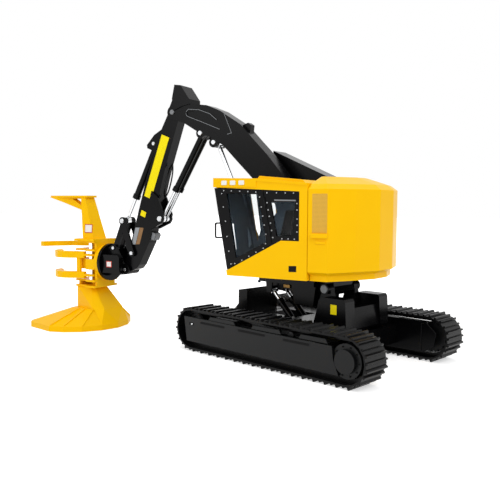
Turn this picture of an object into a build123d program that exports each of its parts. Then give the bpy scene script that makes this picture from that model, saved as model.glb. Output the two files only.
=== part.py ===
from build123d import *
from math import atan2, cos, degrees, hypot, pi, radians, sin
import os

# Scale model of a levelling tracked feller buncher, 1:32, in millimetres.
# X is the way the house and boom point, Y is left, Z is up.
# The origin is on the slew axis, at the ground.
os.makedirs("parts", exist_ok=True)

# Driving sizes of the undercarriage, along and across its own tracks
slew_at_rest = 14.4
track_length = 152.0
track_height = 29.0
track_gauge = 85.0
shoe_width = 19.0
shoe_pitch = 7.6
shoe_thickness = 1.1
grouser_height = 1.3
chain_width = 8.0
chain_depth = 2.2
roller_gap = 0.3

# Driving sizes of the running-gear frame
plate_thickness = 1.6
plate_front = 67.0
plate_rear = -53.0
plate_bottom = 6.5
plate_top = 22.3
beam_width = 10.0
hub_radius = 6.4
hub_ring_radius = 9.4
roller_radius = 2.9
roller_width = 12.4
roller_count = 9
carrier_radius = 2.0
tooth_gap = 1.1
tooth_count = 14
idler_hub_radius = 4.6
idler_web_radius = 6.6
idler_web_depth = 1.2
idler_inset = 0.4
bend_flats = 8
roller_flats = 10
wheel_flats = 24

# Carbody, levelling pin and turntable
carbody_length = 78.0
carbody_bottom = 8.0
carbody_top = 24.0
tower_top = 39.0
tower_length = 8.0
tower_width = 30.0
tower_x = 50.0
rear_tower_x = -30.0
rear_tower_length = 19.0
rear_tower_width = 9.0
rear_tower_y = 22.0
level_pin_x = -20.0
level_pin_z = 45.0
level_pin_radius = 2.0
level_cap_radius = 3.2
level_ear_inner = 10.0
level_ear_width = 4.0
level_cyl_y = 6.0
level_foot = (12.0, 20.0)
level_head = (31.0, 39.5)
ring_radius = 22.0
ring_height = 2.4
leveller_height = 5.0

# House
deck_z = 52.5
deck_thickness = 2.4
house_half_width = 46.0
tail_radius = 50.0
wall = 1.6
seam_x = -15.4
cab_inner_y = 11.5
cab_front_top = 47.0
cab_front_bottom = 37.4
roof_z = 107.4
roof_front_z = 111.0
visor_depth = 0.5
visor_rear = 17.4
hatch_left = 42.0
hatch_right = 17.0
hood_top = 111.5
door_gap = 0.4
lamp_depth = 0.6
knuckle_radius = 0.75
knuckle_length = 5.0
side_front_x = 34.0
side_inner_y = -10.5
cover_front_z = 131.0
cover_rear_z = 112.0

# Pins of the boom, in the boom's plane: forward, up
foot_pin = (-2.0, 80.0)
lift_low_pin = (40.0, 62.0)
boom_reach = 135.3
boom_angle = 35.8
stick_reach = 121.2
stick_angle = -68.7
pin_radius = 1.6
fit = 0.05
side_gap = 0.35
boom_width = 12.0
stick_width = 8.4
fork_slot = 9.0
fork_room = 9.6
recess_depth = 0.5
top_lug_width = 5.0
ear_width = 2.4
lift_eye_width = 6.0
stick_cyl_y = 2.35

# Cylinders: the stretch from each barrel's open end to the far pin, the eye's neck and the gland
level_shown = 9.23
lift_shown = 35.04
stick_shown = 23.11
head_shown = 18.93
neck = 0.8
gland_length = 3.0
gland_step = 0.5


def polar(origin, reach, angle):
    return (origin[0] + reach * cos(radians(angle)), origin[1] + reach * sin(radians(angle)))


def local(origin, angle, u, v):
    a = radians(angle)
    return (origin[0] + u * cos(a) - v * sin(a), origin[1] + u * sin(a) + v * cos(a))


stick_pin = polar(foot_pin, boom_reach, boom_angle)
head_pin = polar(stick_pin, stick_reach, stick_angle)
# pins in the boom's and the stick's own frames
lift_lug = (boom_reach - 40.8, 2.0)
cylinder_lug = (boom_reach - 28.3, 1.2)
stick_lug = (74.0, -15.8)
head_ear = (26.0, 9.2)
idler_lug = (stick_reach - 13.8, -1.1)
rod_point = (stick_reach - 32.6, 15.6)
lift_top_pin = local(foot_pin, boom_angle, *lift_lug)
stick_cyl_pin = local(foot_pin, boom_angle, *cylinder_lug)
stick_lug_pin = local(stick_pin, stick_angle, *stick_lug)
head_cyl_pin = local(stick_pin, stick_angle, *head_ear)
idler_pin = local(stick_pin, stick_angle, *idler_lug)
rod_pin = local(stick_pin, stick_angle, *rod_point)
head_link_pin = (head_pin[0] + 11.3, head_pin[1] + 15.6)


# Planes: a side plane looks along -Y, with its X forward and its Y up
forward = Vector(1, 0, 0).rotate(Axis.Z, -slew_at_rest)
left = Vector(0, 1, 0).rotate(Axis.Z, -slew_at_rest)


def side(y):
    return Plane(origin=(0, y, 0), x_dir=(1, 0, 0), z_dir=(0, -1, 0))


def track_side(y):
    return Plane(origin=left * y, x_dir=forward, z_dir=left * -1)


def track_level(z):
    return Plane(origin=(0, 0, z), x_dir=forward, z_dir=(0, 0, 1))


def arm_side(origin, angle, y):
    a = radians(angle)
    return Plane(origin=(origin[0], y, origin[1]), x_dir=(cos(a), 0, sin(a)), z_dir=(0, -1, 0))


def save(piece, name):
    piece.part.label = name
    export_step(piece.part, "parts/" + name + ".step")


def stack(rings):
    # one solid through rings of points with equal counts: flat triangles between rings, flat ends
    faces = [Face(Wire.make_polygon(ring, close=True)) for ring in (rings[0], rings[-1])]
    for lower, upper in zip(rings[:-1], rings[1:]):
        for i in range(len(lower)):
            j = (i + 1) % len(lower)
            if lower[i][1] + lower[j][1] > 0:
                corners = ((lower[i], lower[j], upper[j]), (lower[i], upper[j], upper[i]))
            else:
                corners = ((lower[i], lower[j], upper[i]), (lower[j], upper[j], upper[i]))
            faces += [Face(Wire.make_polygon(triangle, close=True)) for triangle in corners]
    return Solid(Shell(faces))


def at_height(outline, z):
    return [(x, y, z) for x, y in outline]


# Tracks: one closed loop of shoes with a grouser on each, over its chain
path_radius = track_height / 2 - grouser_height
end_x = track_length / 2 - track_height / 2
loop_length = 4 * end_x + 2 * pi * path_radius
shoe_count = round(loop_length / shoe_pitch)


def on_loop(distance):
    # point and direction of travel on the shoes' outer face, from the top centre forwards
    d = distance % loop_length
    bend = pi * path_radius
    if d < end_x:
        return d, path_radius, 0.0
    if d < end_x + bend:
        a = (d - end_x) / path_radius
        return end_x + path_radius * sin(a), path_radius * cos(a), -a
    if d < 3 * end_x + bend:
        return end_x - (d - end_x - bend), -path_radius, -pi
    if d < 3 * end_x + 2 * bend:
        a = pi + (d - 3 * end_x - bend) / path_radius
        return -end_x + path_radius * sin(a), path_radius * cos(a), -a
    return -end_x + (d - 3 * end_x - 2 * bend), path_radius, 0.0


def shoe_outline():
    # each shoe: along its travel and above its face
    pitch = loop_length / shoe_count
    half = pitch / 2 - 0.25
    rows = [
        (-half, -shoe_thickness * 0.4),
        (-half, 0.0),
        (half - 1.7, 0.0),
        (half - 1.2, grouser_height),
        (half - 0.4, grouser_height),
        (half, -shoe_thickness * 0.4),
    ]
    points = []
    for i in range(shoe_count):
        x, z, turn = on_loop((i + 0.5) * pitch)
        # a shoe is a chord of the bend, so its middle sits lower there
        sink = half * half / (2 * (path_radius + grouser_height)) if abs(x) > end_x else 0.0
        for along, above in rows:
            above = above - sink
            px = x + along * cos(turn) - above * sin(turn)
            pz = z + along * sin(turn) + above * cos(turn)
            points.append((px, pz + track_height / 2))
    return points


def loop_flats(radius):
    # an inner loop with each bend in a few flats, so that its hidden sides stay light
    points = []
    for centre, start in ((end_x, -90), (-end_x, 90)):
        for i in range(bend_flats + 1):
            x, z = polar((centre, track_height / 2), radius, start + 180 * i / bend_flats)
            points.append((x, z))
    return points


outline = shoe_outline()
shoe_inner = path_radius - shoe_thickness
chain_inner = shoe_inner - chain_depth
for name, sign in (("track_left", 1), ("track_right", -1)):
    centre = sign * track_gauge / 2
    with BuildPart() as track:
        with BuildSketch(track_side(centre + shoe_width / 2)):
            with BuildLine():
                Polyline(*outline, close=True)
            make_face()
            with BuildLine():
                Polyline(*loop_flats(shoe_inner), close=True)
            make_face(mode=Mode.SUBTRACT)
        extrude(amount=shoe_width)
        with BuildSketch(track_side(centre + chain_width / 2)):
            with BuildLine():
                Polyline(*loop_flats(shoe_inner + 0.1), close=True)
            make_face()
            with BuildLine():
                Polyline(*loop_flats(chain_inner), close=True)
            make_face(mode=Mode.SUBTRACT)
        extrude(amount=chain_width)
    save(track, name)

# Track frames: a beam inside each loop, an outer guard plate with slots and upper skid strips
beam_top = track_height / 2 + chain_inner - roller_gap
beam_bottom = track_height / 2 - chain_inner + roller_gap
for name, sign in (("track_frame_left", 1), ("track_frame_right", -1)):
    centre = sign * track_gauge / 2
    outer = centre + sign * shoe_width / 2
    beam_front = end_x - 13.0
    beam_rear = -end_x + 13.0
    with BuildPart() as frame:
        with BuildSketch(track_side(centre + beam_width / 2)):
            with BuildLine():
                Polyline(
                    (beam_rear, beam_bottom + 2),
                    (beam_front, beam_bottom + 2),
                    (beam_front + 3, track_height / 2),
                    (beam_front, beam_top - 2),
                    (beam_rear, beam_top - 2),
                    close=True,
                )
            make_face()
        extrude(amount=beam_width)
        plate_y = outer if sign > 0 else outer + plate_thickness
        with BuildSketch(track_side(plate_y)):
            with BuildLine():
                Polyline(
                    (plate_front, plate_top),
                    (plate_rear, plate_top - 0.8),
                    (plate_rear - 1, (plate_top + plate_bottom) / 2),
                    (plate_rear - 4.5, plate_bottom),
                    (plate_front - 2.5, plate_bottom),
                    close=True,
                )
            make_face()
        extrude(amount=plate_thickness)
        web_width = (shoe_width - beam_width) / 2
        with BuildSketch(track_side(outer if sign > 0 else centre - beam_width / 2)):
            with Locations(((plate_front + plate_rear) / 2 - 6, track_height / 2)):
                Rectangle(plate_front - plate_rear - 26, 9)
        extrude(amount=web_width)
        # lower rollers along the run and two carrier rollers above, as round ends beside the beam
        roller_z = beam_bottom + roller_radius
        run = beam_front - beam_rear - 2 * roller_radius - 2
        lower = [(beam_rear + roller_radius + 1 + run * i / (roller_count - 1), roller_z) for i in range(roller_count)]
        upper = [(x, beam_top - carrier_radius) for x in (-22.0, 22.0)]
        with BuildSketch(track_side(centre + roller_width / 2)):
            with Locations(*lower):
                RegularPolygon(roller_radius, roller_flats)
            with Locations(*upper):
                RegularPolygon(carrier_radius, roller_flats)
        extrude(amount=roller_width)
    save(frame, name)


def sprocket_outline():
    # flat-topped teeth: the angle within a tooth's pitch and the depth below the tips
    rows = ((-0.25, 0.0), (0.15, 0.0), (0.3, tooth_gap), (0.6, tooth_gap))
    points = []
    for i in range(tooth_count):
        for share, depth in rows:
            radius = chain_inner - idler_inset - depth
            points.append(polar((-end_x, track_height / 2), radius, (i + share) * 360 / tooth_count))
    return points


for name, sign in (("final_drive_left", 1), ("final_drive_right", -1)):
    centre = sign * track_gauge / 2
    outer = centre + sign * shoe_width / 2
    with BuildPart() as drive:
        with BuildSketch(track_side(centre)):
            with BuildLine():
                Polyline(*sprocket_outline(), close=True)
            make_face()
        extrude(amount=3, both=True)
        with BuildSketch(track_side(centre + sign * 5)):
            with Locations((-end_x, track_height / 2)):
                RegularPolygon(hub_ring_radius, wheel_flats)
        extrude(amount=2.8, both=True)
        with BuildSketch(track_side(outer - sign * 1.5)):
            with Locations((-end_x, track_height / 2)):
                Circle(hub_radius)
        extrude(amount=2, both=True)
    save(drive, name)

for name, sign in (("idler_left", 1), ("idler_right", -1)):
    centre = sign * track_gauge / 2
    with BuildPart() as idler:
        with BuildSketch(track_side(centre)):
            with Locations((end_x, track_height / 2)):
                RegularPolygon(chain_inner - idler_inset, wheel_flats)
        extrude(amount=3, both=True)
        for face in (3 - idler_web_depth, -3):
            with BuildSketch(track_side(centre + face + idler_web_depth)):
                with Locations((end_x, track_height / 2)):
                    RegularPolygon(idler_web_radius + 1.4, wheel_flats)
                    RegularPolygon(idler_hub_radius, roller_flats, mode=Mode.SUBTRACT)
            extrude(amount=idler_web_depth, mode=Mode.SUBTRACT)
    save(idler, name)

# Carbody: a deck between the track frames, a front tower, two rear towers and the levelling pin's ears
inner_gap = track_gauge / 2 - beam_width / 2
carbody_shelf = beam_bottom + 2 * roller_radius + side_gap
with BuildPart() as carbody:
    # the lower half is narrower, to leave room for the rollers' inner ends
    with BuildSketch(track_level(carbody_bottom)):
        Rectangle(carbody_length, track_gauge - roller_width - 2 * side_gap)
    extrude(amount=carbody_shelf - carbody_bottom)
    with BuildSketch(track_level(carbody_shelf)):
        Rectangle(carbody_length, 2 * inner_gap - 2 * fit)
    extrude(amount=carbody_top - carbody_shelf - 4)
    with BuildSketch(track_level(carbody_top - 4)):
        Rectangle(carbody_length - 8, track_gauge - shoe_width - 4)
    extrude(amount=4)
    with BuildSketch(track_side(tower_width / 2)):
        with BuildLine():
            Polyline(
                (tower_x - tower_length / 2, carbody_bottom),
                (tower_x + tower_length / 2 + 4, carbody_bottom),
                (tower_x + tower_length / 2 + 4, carbody_top),
                (tower_x + tower_length / 2, carbody_top + 4),
                (tower_x + tower_length / 2, tower_top - 1.5),
                (tower_x - tower_length / 2, tower_top),
                close=True,
            )
        make_face()
    extrude(amount=tower_width)
    with BuildSketch(track_side(tower_width / 2 - 2)):
        with Locations(((carbody_length / 2 + tower_x) / 2, (carbody_bottom + carbody_top) / 2)):
            Rectangle(tower_x - carbody_length / 2 + 4, carbody_top - carbody_bottom)
    extrude(amount=tower_width - 4)
    for y in (rear_tower_y, -rear_tower_y + rear_tower_width):
        with BuildSketch(track_side(y)):
            with BuildLine():
                Polyline(
                    (rear_tower_x - rear_tower_length / 2 - 1, carbody_top - 1),
                    (rear_tower_x + rear_tower_length / 2 + 4, carbody_top - 1),
                    (rear_tower_x + rear_tower_length / 2, tower_top + 0.5),
                    (rear_tower_x + rear_tower_length / 2 - 3, tower_top + 2),
                    (rear_tower_x - rear_tower_length / 2 + 1, tower_top + 2),
                    (rear_tower_x - rear_tower_length / 2, tower_top + 0.5),
                    close=True,
                )
            make_face()
        extrude(amount=rear_tower_width)
    with BuildSketch(track_side(rear_tower_y - rear_tower_width + 1)):
        with BuildLine():
            Polyline(
                (rear_tower_x - rear_tower_length / 2, carbody_top - 1),
                (rear_tower_x + rear_tower_length / 2 + 2, carbody_top - 1),
                (rear_tower_x + 2, tower_top - 4),
                (rear_tower_x - rear_tower_length / 2 + 2, tower_top - 4),
                close=True,
            )
        make_face()
    extrude(amount=2 * (rear_tower_y - rear_tower_width + 1))
    for y in (level_ear_inner + level_ear_width, -level_ear_inner):
        with BuildSketch(track_side(y)):
            with BuildLine():
                Polyline(
                    (level_pin_x - 7, carbody_top - 1),
                    (level_pin_x + 10, carbody_top - 1),
                    (level_pin_x + 3, level_pin_z),
                    (level_pin_x - 3, level_pin_z),
                    close=True,
                )
            make_face()
            with Locations((level_pin_x, level_pin_z)):
                Circle(level_cap_radius - 0.2)
                Circle(level_pin_radius + fit, mode=Mode.SUBTRACT)
        extrude(amount=level_ear_width)
    # the pocket that the two levelling cylinders stand in, and their foot pin
    pocket_half = level_cyl_y + 4
    with BuildSketch(track_side(pocket_half)):
        with BuildLine():
            Polyline(
                (level_foot[0] - 5, carbody_top + 1),
                (level_foot[0] - 5, level_foot[1] - 4),
                (level_foot[0] + 6, level_foot[1] - 4),
                (level_foot[0] + 20, carbody_top + 1),
                close=True,
            )
        make_face()
    extrude(amount=2 * pocket_half, mode=Mode.SUBTRACT)
    with BuildSketch(track_side(pocket_half + 0.5)):
        with Locations(level_foot):
            Circle(pin_radius)
    extrude(amount=2 * pocket_half + 1)
save(carbody, "carbody")

# Leveller: the tilting carrier under the turntable, with its pin and the slew ring
carrier_z = deck_z - ring_height - leveller_height
with BuildPart() as leveller:
    with BuildSketch(track_level(carrier_z)):
        with Locations((12, 0)):
            Rectangle(46, 30)
        with Locations((-10, 0)):
            Rectangle(24, 2 * (level_ear_inner - side_gap))
    extrude(amount=leveller_height)
    with BuildSketch(track_level(deck_z - ring_height)):
        Circle(ring_radius)
    extrude(amount=ring_height - fit)
    with BuildSketch(track_side(level_ear_inner - side_gap)):
        with BuildLine():
            Polyline(
                (level_pin_x - 2, carrier_z + 1),
                (level_pin_x - 4, level_pin_z - 2),
                (level_pin_x, level_pin_z - 4.4),
                (level_pin_x + 4, level_pin_z - 2),
                (level_pin_x + 12, carrier_z + 1),
                close=True,
            )
        make_face()
    extrude(amount=2 * (level_ear_inner - side_gap))
    cap_y = level_ear_inner + level_ear_width + side_gap
    for y, radius, width in (
        (cap_y, level_pin_radius, 2 * cap_y),
        (cap_y + 2, level_cap_radius, 2),
        (-cap_y, level_cap_radius, 2),
    ):
        with BuildSketch(track_side(y)):
            with Locations((level_pin_x, level_pin_z)):
                Circle(radius)
        extrude(amount=width)
    for y in (level_cyl_y, -level_cyl_y):
        for lug_y in (y + 3.6, y - 2.4):
            with BuildSketch(track_side(lug_y)):
                with BuildLine():
                    Polyline(
                        (level_head[0] - 3, carrier_z + 1),
                        (level_head[0] - 2, level_head[1] - 2),
                        (level_head[0] + 2, level_head[1] - 2),
                        (level_head[0] + 3, carrier_z + 1),
                        close=True,
                    )
                make_face()
            extrude(amount=1.2)
save(leveller, "leveller")


# Cylinders: each is a bored barrel with its foot eye, and a rod that slides in it, eye at the far end
def eye_plane(base, point, y, on_tracks):
    if on_tracks:
        origin = forward * point[0] + left * y + Vector(0, 0, point[1])
        return Plane(origin=origin, x_dir=forward, z_dir=left * -1)
    return Plane(origin=(point[0], y, point[1]), x_dir=(1, 0, 0), z_dir=(0, -1, 0))


def run_plane(foot, head, y, on_tracks):
    a = atan2(head[1] - foot[1], head[0] - foot[0])
    if on_tracks:
        origin = forward * foot[0] + left * y + Vector(0, 0, foot[1])
        along = forward * cos(a) + Vector(0, 0, sin(a))
        return Plane(origin=origin, x_dir=left, z_dir=along)
    return Plane(origin=(foot[0], y, foot[1]), x_dir=(0, 1, 0), z_dir=(cos(a), 0, sin(a)))


def make_barrel(name, foot, head, ys, radius, shown, bore, eye, eye_width, on_tracks=False):
    # shown is the stretch between the barrel's open end and the far pin
    length = hypot(head[0] - foot[0], head[1] - foot[1]) - shown
    with BuildPart() as barrel:
        for y in ys:
            line = run_plane(foot, head, y, on_tracks)
            with BuildSketch(line.offset(eye * 0.5)):
                Rectangle(min(2 * radius, eye_width), 2 * min(radius, eye * 0.8))
            extrude(amount=eye * 0.5 + neck)
            with BuildSketch(line.offset(eye + neck)):
                Circle(radius)
            extrude(amount=length - eye - neck)
            with BuildSketch(line.offset(length - gland_length)):
                Circle(radius + gland_step)
            extrude(amount=gland_length)
            with BuildSketch(eye_plane(foot, foot, y + eye_width / 2, on_tracks)):
                Circle(eye)
            extrude(amount=eye_width)
            with BuildSketch(eye_plane(foot, foot, y + eye_width, on_tracks)):
                Circle(pin_radius + fit)
            extrude(amount=2 * eye_width, mode=Mode.SUBTRACT)
            with BuildSketch(line.offset(eye + 2 * neck)):
                Circle(bore)
            extrude(amount=length, mode=Mode.SUBTRACT)
    save(barrel, name)


def make_rod(name, foot, head, ys, radius, shown, engaged, eye, eye_width, on_tracks=False):
    # engaged is the stretch of rod inside the barrel
    reach = hypot(head[0] - foot[0], head[1] - foot[1])
    start = reach - shown - engaged
    with BuildPart() as rod:
        for y in ys:
            line = run_plane(foot, head, y, on_tracks)
            with BuildSketch(line.offset(start)):
                Circle(radius)
            extrude(amount=reach - start - eye - neck / 2)
            with BuildSketch(line.offset(reach - eye - neck / 2)):
                Rectangle(min(2 * radius + 0.8, eye_width), 2 * min(radius + 0.3, eye * 0.8))
            extrude(amount=eye * 0.5 + neck / 2)
            with BuildSketch(eye_plane(head, head, y + eye_width / 2, on_tracks)):
                Circle(eye)
                Circle(pin_radius * 0.8, mode=Mode.SUBTRACT)
            extrude(amount=eye_width)
    save(rod, name)


level_ys = (level_cyl_y, -level_cyl_y)
make_barrel("level_barrels", level_foot, level_head, level_ys, 2.2, level_shown, 1.3, 2.0, 4.0, True)
make_rod("level_rods", level_foot, level_head, level_ys, 1.25, level_shown, 8.5, 2.0, 4.0, True)

# House: deck, engine enclosure, cab, right-hand tank and the sloping cover beside the boom
crease_x = -28.0
tail_points = [
    (crease_x, house_half_width),
    (-38.6, 31.7),
    (-47.4, 15.8),
]


def tail_outline(front, inset):
    half = [(front, house_half_width - inset)]
    for x, y in tail_points:
        reach = hypot(x, y)
        half.append((x * (reach - inset) / reach, y * (reach - inset) / reach))
    half.append((-tail_radius + inset, 0))
    return half + [(x, -y) for x, y in reversed(half[:-1])]


with BuildPart() as deck:
    with BuildSketch(Plane.XY.offset(deck_z)):
        with BuildLine():
            Polyline(*tail_outline(seam_x, 4.0), close=True)
        make_face()
        with BuildLine():
            Polyline(
                (seam_x - 1, 12),
                (cab_front_bottom - 2, 12),
                (cab_front_bottom + 6, 7),
                (cab_front_bottom + 6, -8),
                (side_front_x - 2, -12),
                (side_front_x - 2, -44),
                (seam_x - 1, -44),
                close=True,
            )
        make_face()
    extrude(amount=deck_thickness)
    foot_ear_y = boom_width / 2 + side_gap
    lift_ear_y = lift_eye_width / 2 + side_gap
    for ear_y, pin, front, rear in (
        (foot_ear_y, foot_pin, 30.0, -12.0),
        (lift_ear_y, lift_low_pin, 4.0, -5.0),
    ):
        for y in (ear_y + ear_width, -ear_y):
            with BuildSketch(side(y)):
                with BuildLine():
                    Polyline(
                        (pin[0] + rear, deck_z + 1),
                        (pin[0] + front, deck_z + 1),
                        (pin[0] + 3, pin[1]),
                        (pin[0] - 3, pin[1]),
                        close=True,
                    )
                make_face()
                with Locations(pin):
                    Circle(3.4)
            extrude(amount=ear_width)
        with BuildSketch(side(ear_y + ear_width)):
            with Locations(pin):
                Circle(pin_radius)
        extrude(amount=2 * (ear_y + ear_width))
save(deck, "deck")

hood_shoulder = 104.0
tail_rise = 5.0
hood_front = seam_x - 0.4
hood_rings = [
    # height, and how far the outline lies inside the hood's full width
    (deck_z + deck_thickness + fit, 4.4),
    (deck_z + tail_rise, 0.0),
    (hood_shoulder, 0.0),
    (hood_shoulder + 3, 4.0),
    (hood_top, 18.0),
]
with BuildPart() as engine_hood:
    add(stack([at_height(tail_outline(hood_front, inset), z) for z, inset in hood_rings]))
    with BuildSketch(Plane.XY.offset(deck_z + deck_thickness)):
        with BuildLine():
            Polyline(*tail_outline(hood_front - wall, 4.4 + wall), close=True)
        make_face()
    extrude(amount=hood_shoulder - deck_z - deck_thickness, mode=Mode.SUBTRACT)
save(engine_hood, "engine_hood")

# Cab: a hollow shell whose left side is cut for the black window frame and the door
cab_back = seam_x
cab_bottom = deck_z
screen_inner = cab_inner_y + 4.5
screen_outer = house_half_width - 3.5
frame_outline = [
    (cab_front_top - 1.0, 105.4),
    (-10.4, 102.7),
    (-10.4, 74.7),
    (1.1, 74.7),
    (cab_front_bottom - 0.2, 55.7),
]
with BuildPart() as cab:
    with BuildSketch(side(house_half_width)):
        with BuildLine():
            Polyline(
                (cab_back, cab_bottom),
                (cab_front_bottom, cab_bottom),
                (cab_front_top, roof_front_z - 2),
                (cab_front_top, roof_front_z),
                (cab_front_top - 30, roof_front_z - 0.6),
                (cab_back, roof_z),
                close=True,
            )
        make_face()
    extrude(amount=house_half_width - cab_inner_y)
    with BuildSketch(side(house_half_width - wall)):
        with BuildLine():
            Polyline(
                (cab_back + wall, deck_z + deck_thickness + 1),
                (cab_front_bottom - wall, deck_z + deck_thickness + 1),
                (cab_front_top - wall, roof_front_z - 3.6),
                (cab_back + wall, roof_z - wall),
                close=True,
            )
        make_face()
    extrude(amount=house_half_width - cab_inner_y - 2 * wall, mode=Mode.SUBTRACT)
    with BuildSketch(side(house_half_width + 1)):
        with BuildLine():
            Polyline(*frame_outline, (cab_front_top + 5, 60), (cab_front_top + 5, 105.4), close=True)
        make_face()
    extrude(amount=1 + wall + 0.5, mode=Mode.SUBTRACT)
    # right-hand window and windscreen openings
    with BuildSketch(side(cab_inner_y + wall + 1)):
        with BuildLine():
            Polyline((-9, 74), (-9, 101), (41, 103), (33, 60), (14, 60), close=True)
        make_face()
    extrude(amount=wall + 2, mode=Mode.SUBTRACT)
    with BuildSketch(Plane(origin=(cab_front_bottom - 5, 0, 0), x_dir=(0, 1, 0), z_dir=(1, 0, 0))):
        with BuildLine():
            Polyline((screen_inner, 60), (screen_outer, 60), (screen_outer, 105), (screen_inner, 105), close=True)
        make_face()
    extrude(amount=20, mode=Mode.SUBTRACT)
    # clearance of the deck
    with BuildSketch(Plane.XY.offset(deck_z - 1)):
        with Locations(((seam_x + cab_front_bottom) / 2, cab_inner_y)):
            Rectangle(cab_front_bottom - seam_x + 10, 2)
    extrude(amount=deck_thickness + 1 + fit, mode=Mode.SUBTRACT)
    # visor sheet and roof rail on the left side, and the escape hatch on the roof
    with BuildSketch(side(house_half_width + visor_depth)):
        with BuildLine():
            Polyline(
                (cab_front_top, 105.5),
                (cab_front_top, roof_front_z),
                (visor_rear, roof_front_z - 0.6),
                (visor_rear, 105.2),
                close=True,
            )
        make_face()
        with BuildLine():
            Polyline(
                (visor_rear, roof_front_z - 0.8),
                (visor_rear, 108.8),
                (cab_back, roof_z - 1.4),
                (cab_back, roof_z - 0.1),
                close=True,
            )
        make_face()
    extrude(amount=visor_depth + 0.2)
    with BuildSketch(side(hatch_left)):
        with BuildLine():
            Polyline(
                (visor_rear + 2, roof_front_z - 1.2),
                (visor_rear, roof_front_z + 1.0),
                (cab_back + 5, roof_z + 2.0),
                (cab_back + 2.5, roof_z - 0.5),
                close=True,
            )
        make_face()
    extrude(amount=hatch_left - hatch_right)
save(cab, "cab")

# Window frame and door on the cab's left side, meeting at a slanted hinge line
hinge_low = (6.6, 71.8)
hinge_high = (13.0, 103.8)


def hinge_x(z, shift):
    slope = (hinge_high[0] - hinge_low[0]) / (hinge_high[1] - hinge_low[1])
    return hinge_low[0] + (z - hinge_low[1]) * slope + shift


def knuckle_plane(z):
    return Plane(
        origin=(hinge_x(z, 0), house_half_width, z),
        x_dir=(0, 1, 0),
        z_dir=(hinge_high[0] - hinge_low[0], 0, hinge_high[1] - hinge_low[1]),
    )


knuckle_levels = (78.0, 94.0)
with BuildPart() as window_frame:
    with BuildSketch(side(house_half_width)):
        with BuildLine():
            Polyline(
                (hinge_x(103.5, -0.2), 103.5),
                (-10.4 + fit, 102.7 - fit),
                (-10.4 + fit, 74.7 + fit),
                (1.1, 74.7 + fit),
                (hinge_x(71.9, -0.2), 71.9),
                close=True,
            )
        make_face()
        with BuildLine():
            Polyline((8, 96.7), (-7.9, 96.7), (-5.9, 77.5), (4.0, 77.2), close=True)
        make_face(mode=Mode.SUBTRACT)
    extrude(amount=wall)
    for z in knuckle_levels:
        with BuildSketch(knuckle_plane(z - 0.3)):
            Circle(knuckle_radius + 0.15)
        extrude(amount=knuckle_length + 0.6, mode=Mode.SUBTRACT)
save(window_frame, "window_frame")

door_front_top = cab_front_top - 0.6
door_front_bottom = cab_front_bottom - 0.2
with BuildPart() as cab_door:
    with BuildSketch(side(house_half_width)):
        with BuildLine():
            Polyline(
                (door_front_top, 105.0),
                (hinge_x(103.7, 0.2), 103.6),
                (hinge_x(72.3, 0.2), 72.3),
                (door_front_bottom + 0.2, 56.2),
                close=True,
            )
        make_face()
        with BuildLine():
            Polyline((37.9, 101.9), (16.4, 101.3), (10.5, 73.6), (31.2, 63.3), close=True)
        make_face(mode=Mode.SUBTRACT)
    extrude(amount=wall)
    with BuildSketch(Plane(origin=(40.4, house_half_width - 0.6, 79.6), x_dir=(1, 1, 0), z_dir=(1, -1, 0))):
        with Locations((2.4, 0)):
            RectangleRounded(5.6, 9.6, 1.2)
            RectangleRounded(3.8, 7.8, 0.6, mode=Mode.SUBTRACT)
    extrude(amount=0.5, both=True)
    for z in knuckle_levels:
        with BuildSketch(knuckle_plane(z)):
            Circle(knuckle_radius)
        extrude(amount=knuckle_length)
save(cab_door, "cab_door")

with BuildPart() as door_glass:
    with BuildSketch(side(house_half_width - 0.5)):
        with BuildLine():
            Polyline((37.85, 101.8), (16.5, 101.2), (10.6, 73.7), (31.15, 63.4), close=True)
        make_face()
    extrude(amount=0.6)
save(door_glass, "door_glass")

with BuildPart() as cab_glass:
    with BuildSketch(side(house_half_width - 0.5)):
        with BuildLine():
            Polyline((7.9, 96.6), (-7.8, 96.6), (-5.8, 77.6), (3.9, 77.3), close=True)
        make_face()
    extrude(amount=0.6)
    with BuildSketch(side(cab_inner_y + 1.1)):
        with BuildLine():
            Polyline((-8.9, 74.1), (-8.9, 100.9), (40.8, 102.8), (32.9, 60.1), (14.1, 60.1), close=True)
        make_face()
    extrude(amount=0.6)
save(cab_glass, "cab_glass")

with BuildPart() as work_lamps:
    with BuildSketch(side(house_half_width + visor_depth + lamp_depth)):
        with Locations((39, 108), (33, 108), (27, 108)):
            RectangleRounded(3.6, 2.6, 0.5)
    extrude(amount=lamp_depth - fit)
save(work_lamps, "work_lamps")

with BuildPart() as seat:
    with BuildSketch(side(36)):
        with BuildLine():
            Polyline((2, 55.95), (18, 55.95), (18, 70), (8, 71), (3, 92), (-3, 92), (0, 68), close=True)
        make_face()
    extrude(amount=14)
save(seat, "seat")

with BuildPart() as side_tank:
    with BuildSketch(side(side_inner_y)):
        with BuildLine():
            Polyline(
                (seam_x, deck_z + deck_thickness + fit),
                (side_front_x, deck_z + deck_thickness + fit),
                (side_front_x, 98),
                (side_front_x - 6, 107),
                (seam_x, 107),
                close=True,
            )
        make_face()
    extrude(amount=house_half_width + side_inner_y)
save(side_tank, "side_tank")

with BuildPart() as sloping_cover:
    with BuildSketch(side(side_inner_y + 0.6)):
        with BuildLine():
            Polyline(
                (-10, 107 + fit),
                (26, 107 + fit),
                (36, 120),
                (36, cover_front_z),
                (-6, cover_rear_z),
                (-10, 110),
                close=True,
            )
        make_face()
    extrude(amount=18)
save(sloping_cover, "sloping_cover")

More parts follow.
